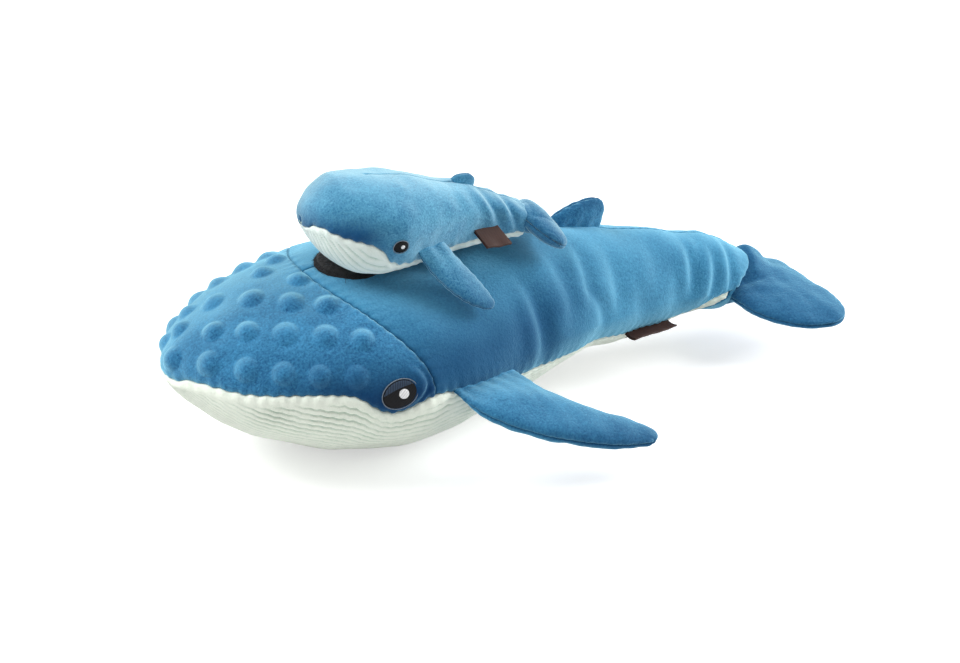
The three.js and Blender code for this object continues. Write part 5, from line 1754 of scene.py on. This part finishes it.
def finish_inner():
    """The squeakers keep their solids' forms and take their plastics, object by object."""
    for name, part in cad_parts.items():
        if "squeaker_bulb" in name:
            material = BULB_PLASTIC
        elif "squeaker_reed" in name:
            material = REED_PLASTIC
        else:
            continue
        if not part.material_slots:
            part.data.materials.append(material)
        for holder in part.material_slots:
            holder.link = "OBJECT"
            holder.material = material


finish_inner()

# Floor, light and view

FLOOR_SIZE = 24.0
FLOOR_GLOW = 0.52
SKY_LEVEL = 0.34


def make_stage():
    """A square floor that takes shadows and glows faintly, so that it shows white."""
    half = 0.5 * FLOOR_SIZE
    corners = [(-half, -half, 0), (half, -half, 0), (half, half, 0), (-half, half, 0)]
    mesh = bpy.data.meshes.new("floor")
    mesh.from_pydata(corners, [], [(0, 1, 2, 3)])
    floor = bpy.data.objects.new("floor", mesh)
    bpy.context.scene.collection.objects.link(floor)
    material = bpy.data.materials.new("white floor")
    material.use_nodes = True
    tree = material.node_tree
    tree.nodes.clear()
    out = tree.nodes.new("ShaderNodeOutputMaterial")
    matt = node(tree, "ShaderNodeBsdfDiffuse", {"Color": (0.8, 0.8, 0.8, 1)})
    strength = seen_share(tree, FLOOR_GLOW)
    glow = node(tree, "ShaderNodeEmission", {"Color": (1, 1, 1, 1), "Strength": strength})
    both = node(tree, "ShaderNodeAddShader", {0: matt.outputs[0], 1: glow.outputs[0]})
    tree.links.new(both.outputs[0], out.inputs["Surface"])
    mesh.materials.append(material)


def seen_share(tree, strength):
    """The strength where a ray comes from the camera, a glossy or a clear surface, else 0."""
    path = tree.nodes.new("ShaderNodeLightPath").outputs
    rays = maths(tree, "MAXIMUM", path["Is Camera Ray"], path["Is Glossy Ray"])
    rays = maths(tree, "MAXIMUM", rays, path["Is Transmission Ray"])
    return maths(tree, "MULTIPLY", rays, strength)


def make_sky():
    """A white room: its full level where it is seen, and SKY_LEVEL as light."""
    world = bpy.data.worlds.new("white room")
    world.use_nodes = True
    bpy.context.scene.world = world
    tree = world.node_tree
    background = tree.nodes["Background"]
    background.inputs["Color"].default_value = (1, 1, 1, 1)
    extra = maths(tree, "ADD", seen_share(tree, 1 - SKY_LEVEL), SKY_LEVEL)
    tree.links.new(extra, background.inputs["Strength"])


def add_lamp(name, place, aim, size, power):
    """A round lamp at its place, turned towards its aim."""
    data = bpy.data.lights.new(name, "AREA")
    data.shape = "DISK"
    data.size = size
    data.energy = power
    lamp = bpy.data.objects.new(name, data)
    lamp.location = place
    lamp.rotation_mode = "QUATERNION"
    lamp.rotation_quaternion = (Vector(aim) - Vector(place)).to_track_quat("-Z", "Y")
    bpy.context.scene.collection.objects.link(lamp)


make_stage()
make_sky()
add_lamp("window lamp", place=(-1.0, 0.45, 1.35), aim=(0.05, 0, 0.05), size=1.1, power=28.0)
add_lamp("tail lamp", place=(1.5, -0.25, 0.8), aim=(0.1, 0, 0.05), size=1.1, power=30.0)
add_lamp("front lamp", place=(-0.5, -1.6, 1.0), aim=(0.05, 0, 0.05), size=1.0, power=2.0)
bpy.context.scene.view_settings.view_transform = "Standard"
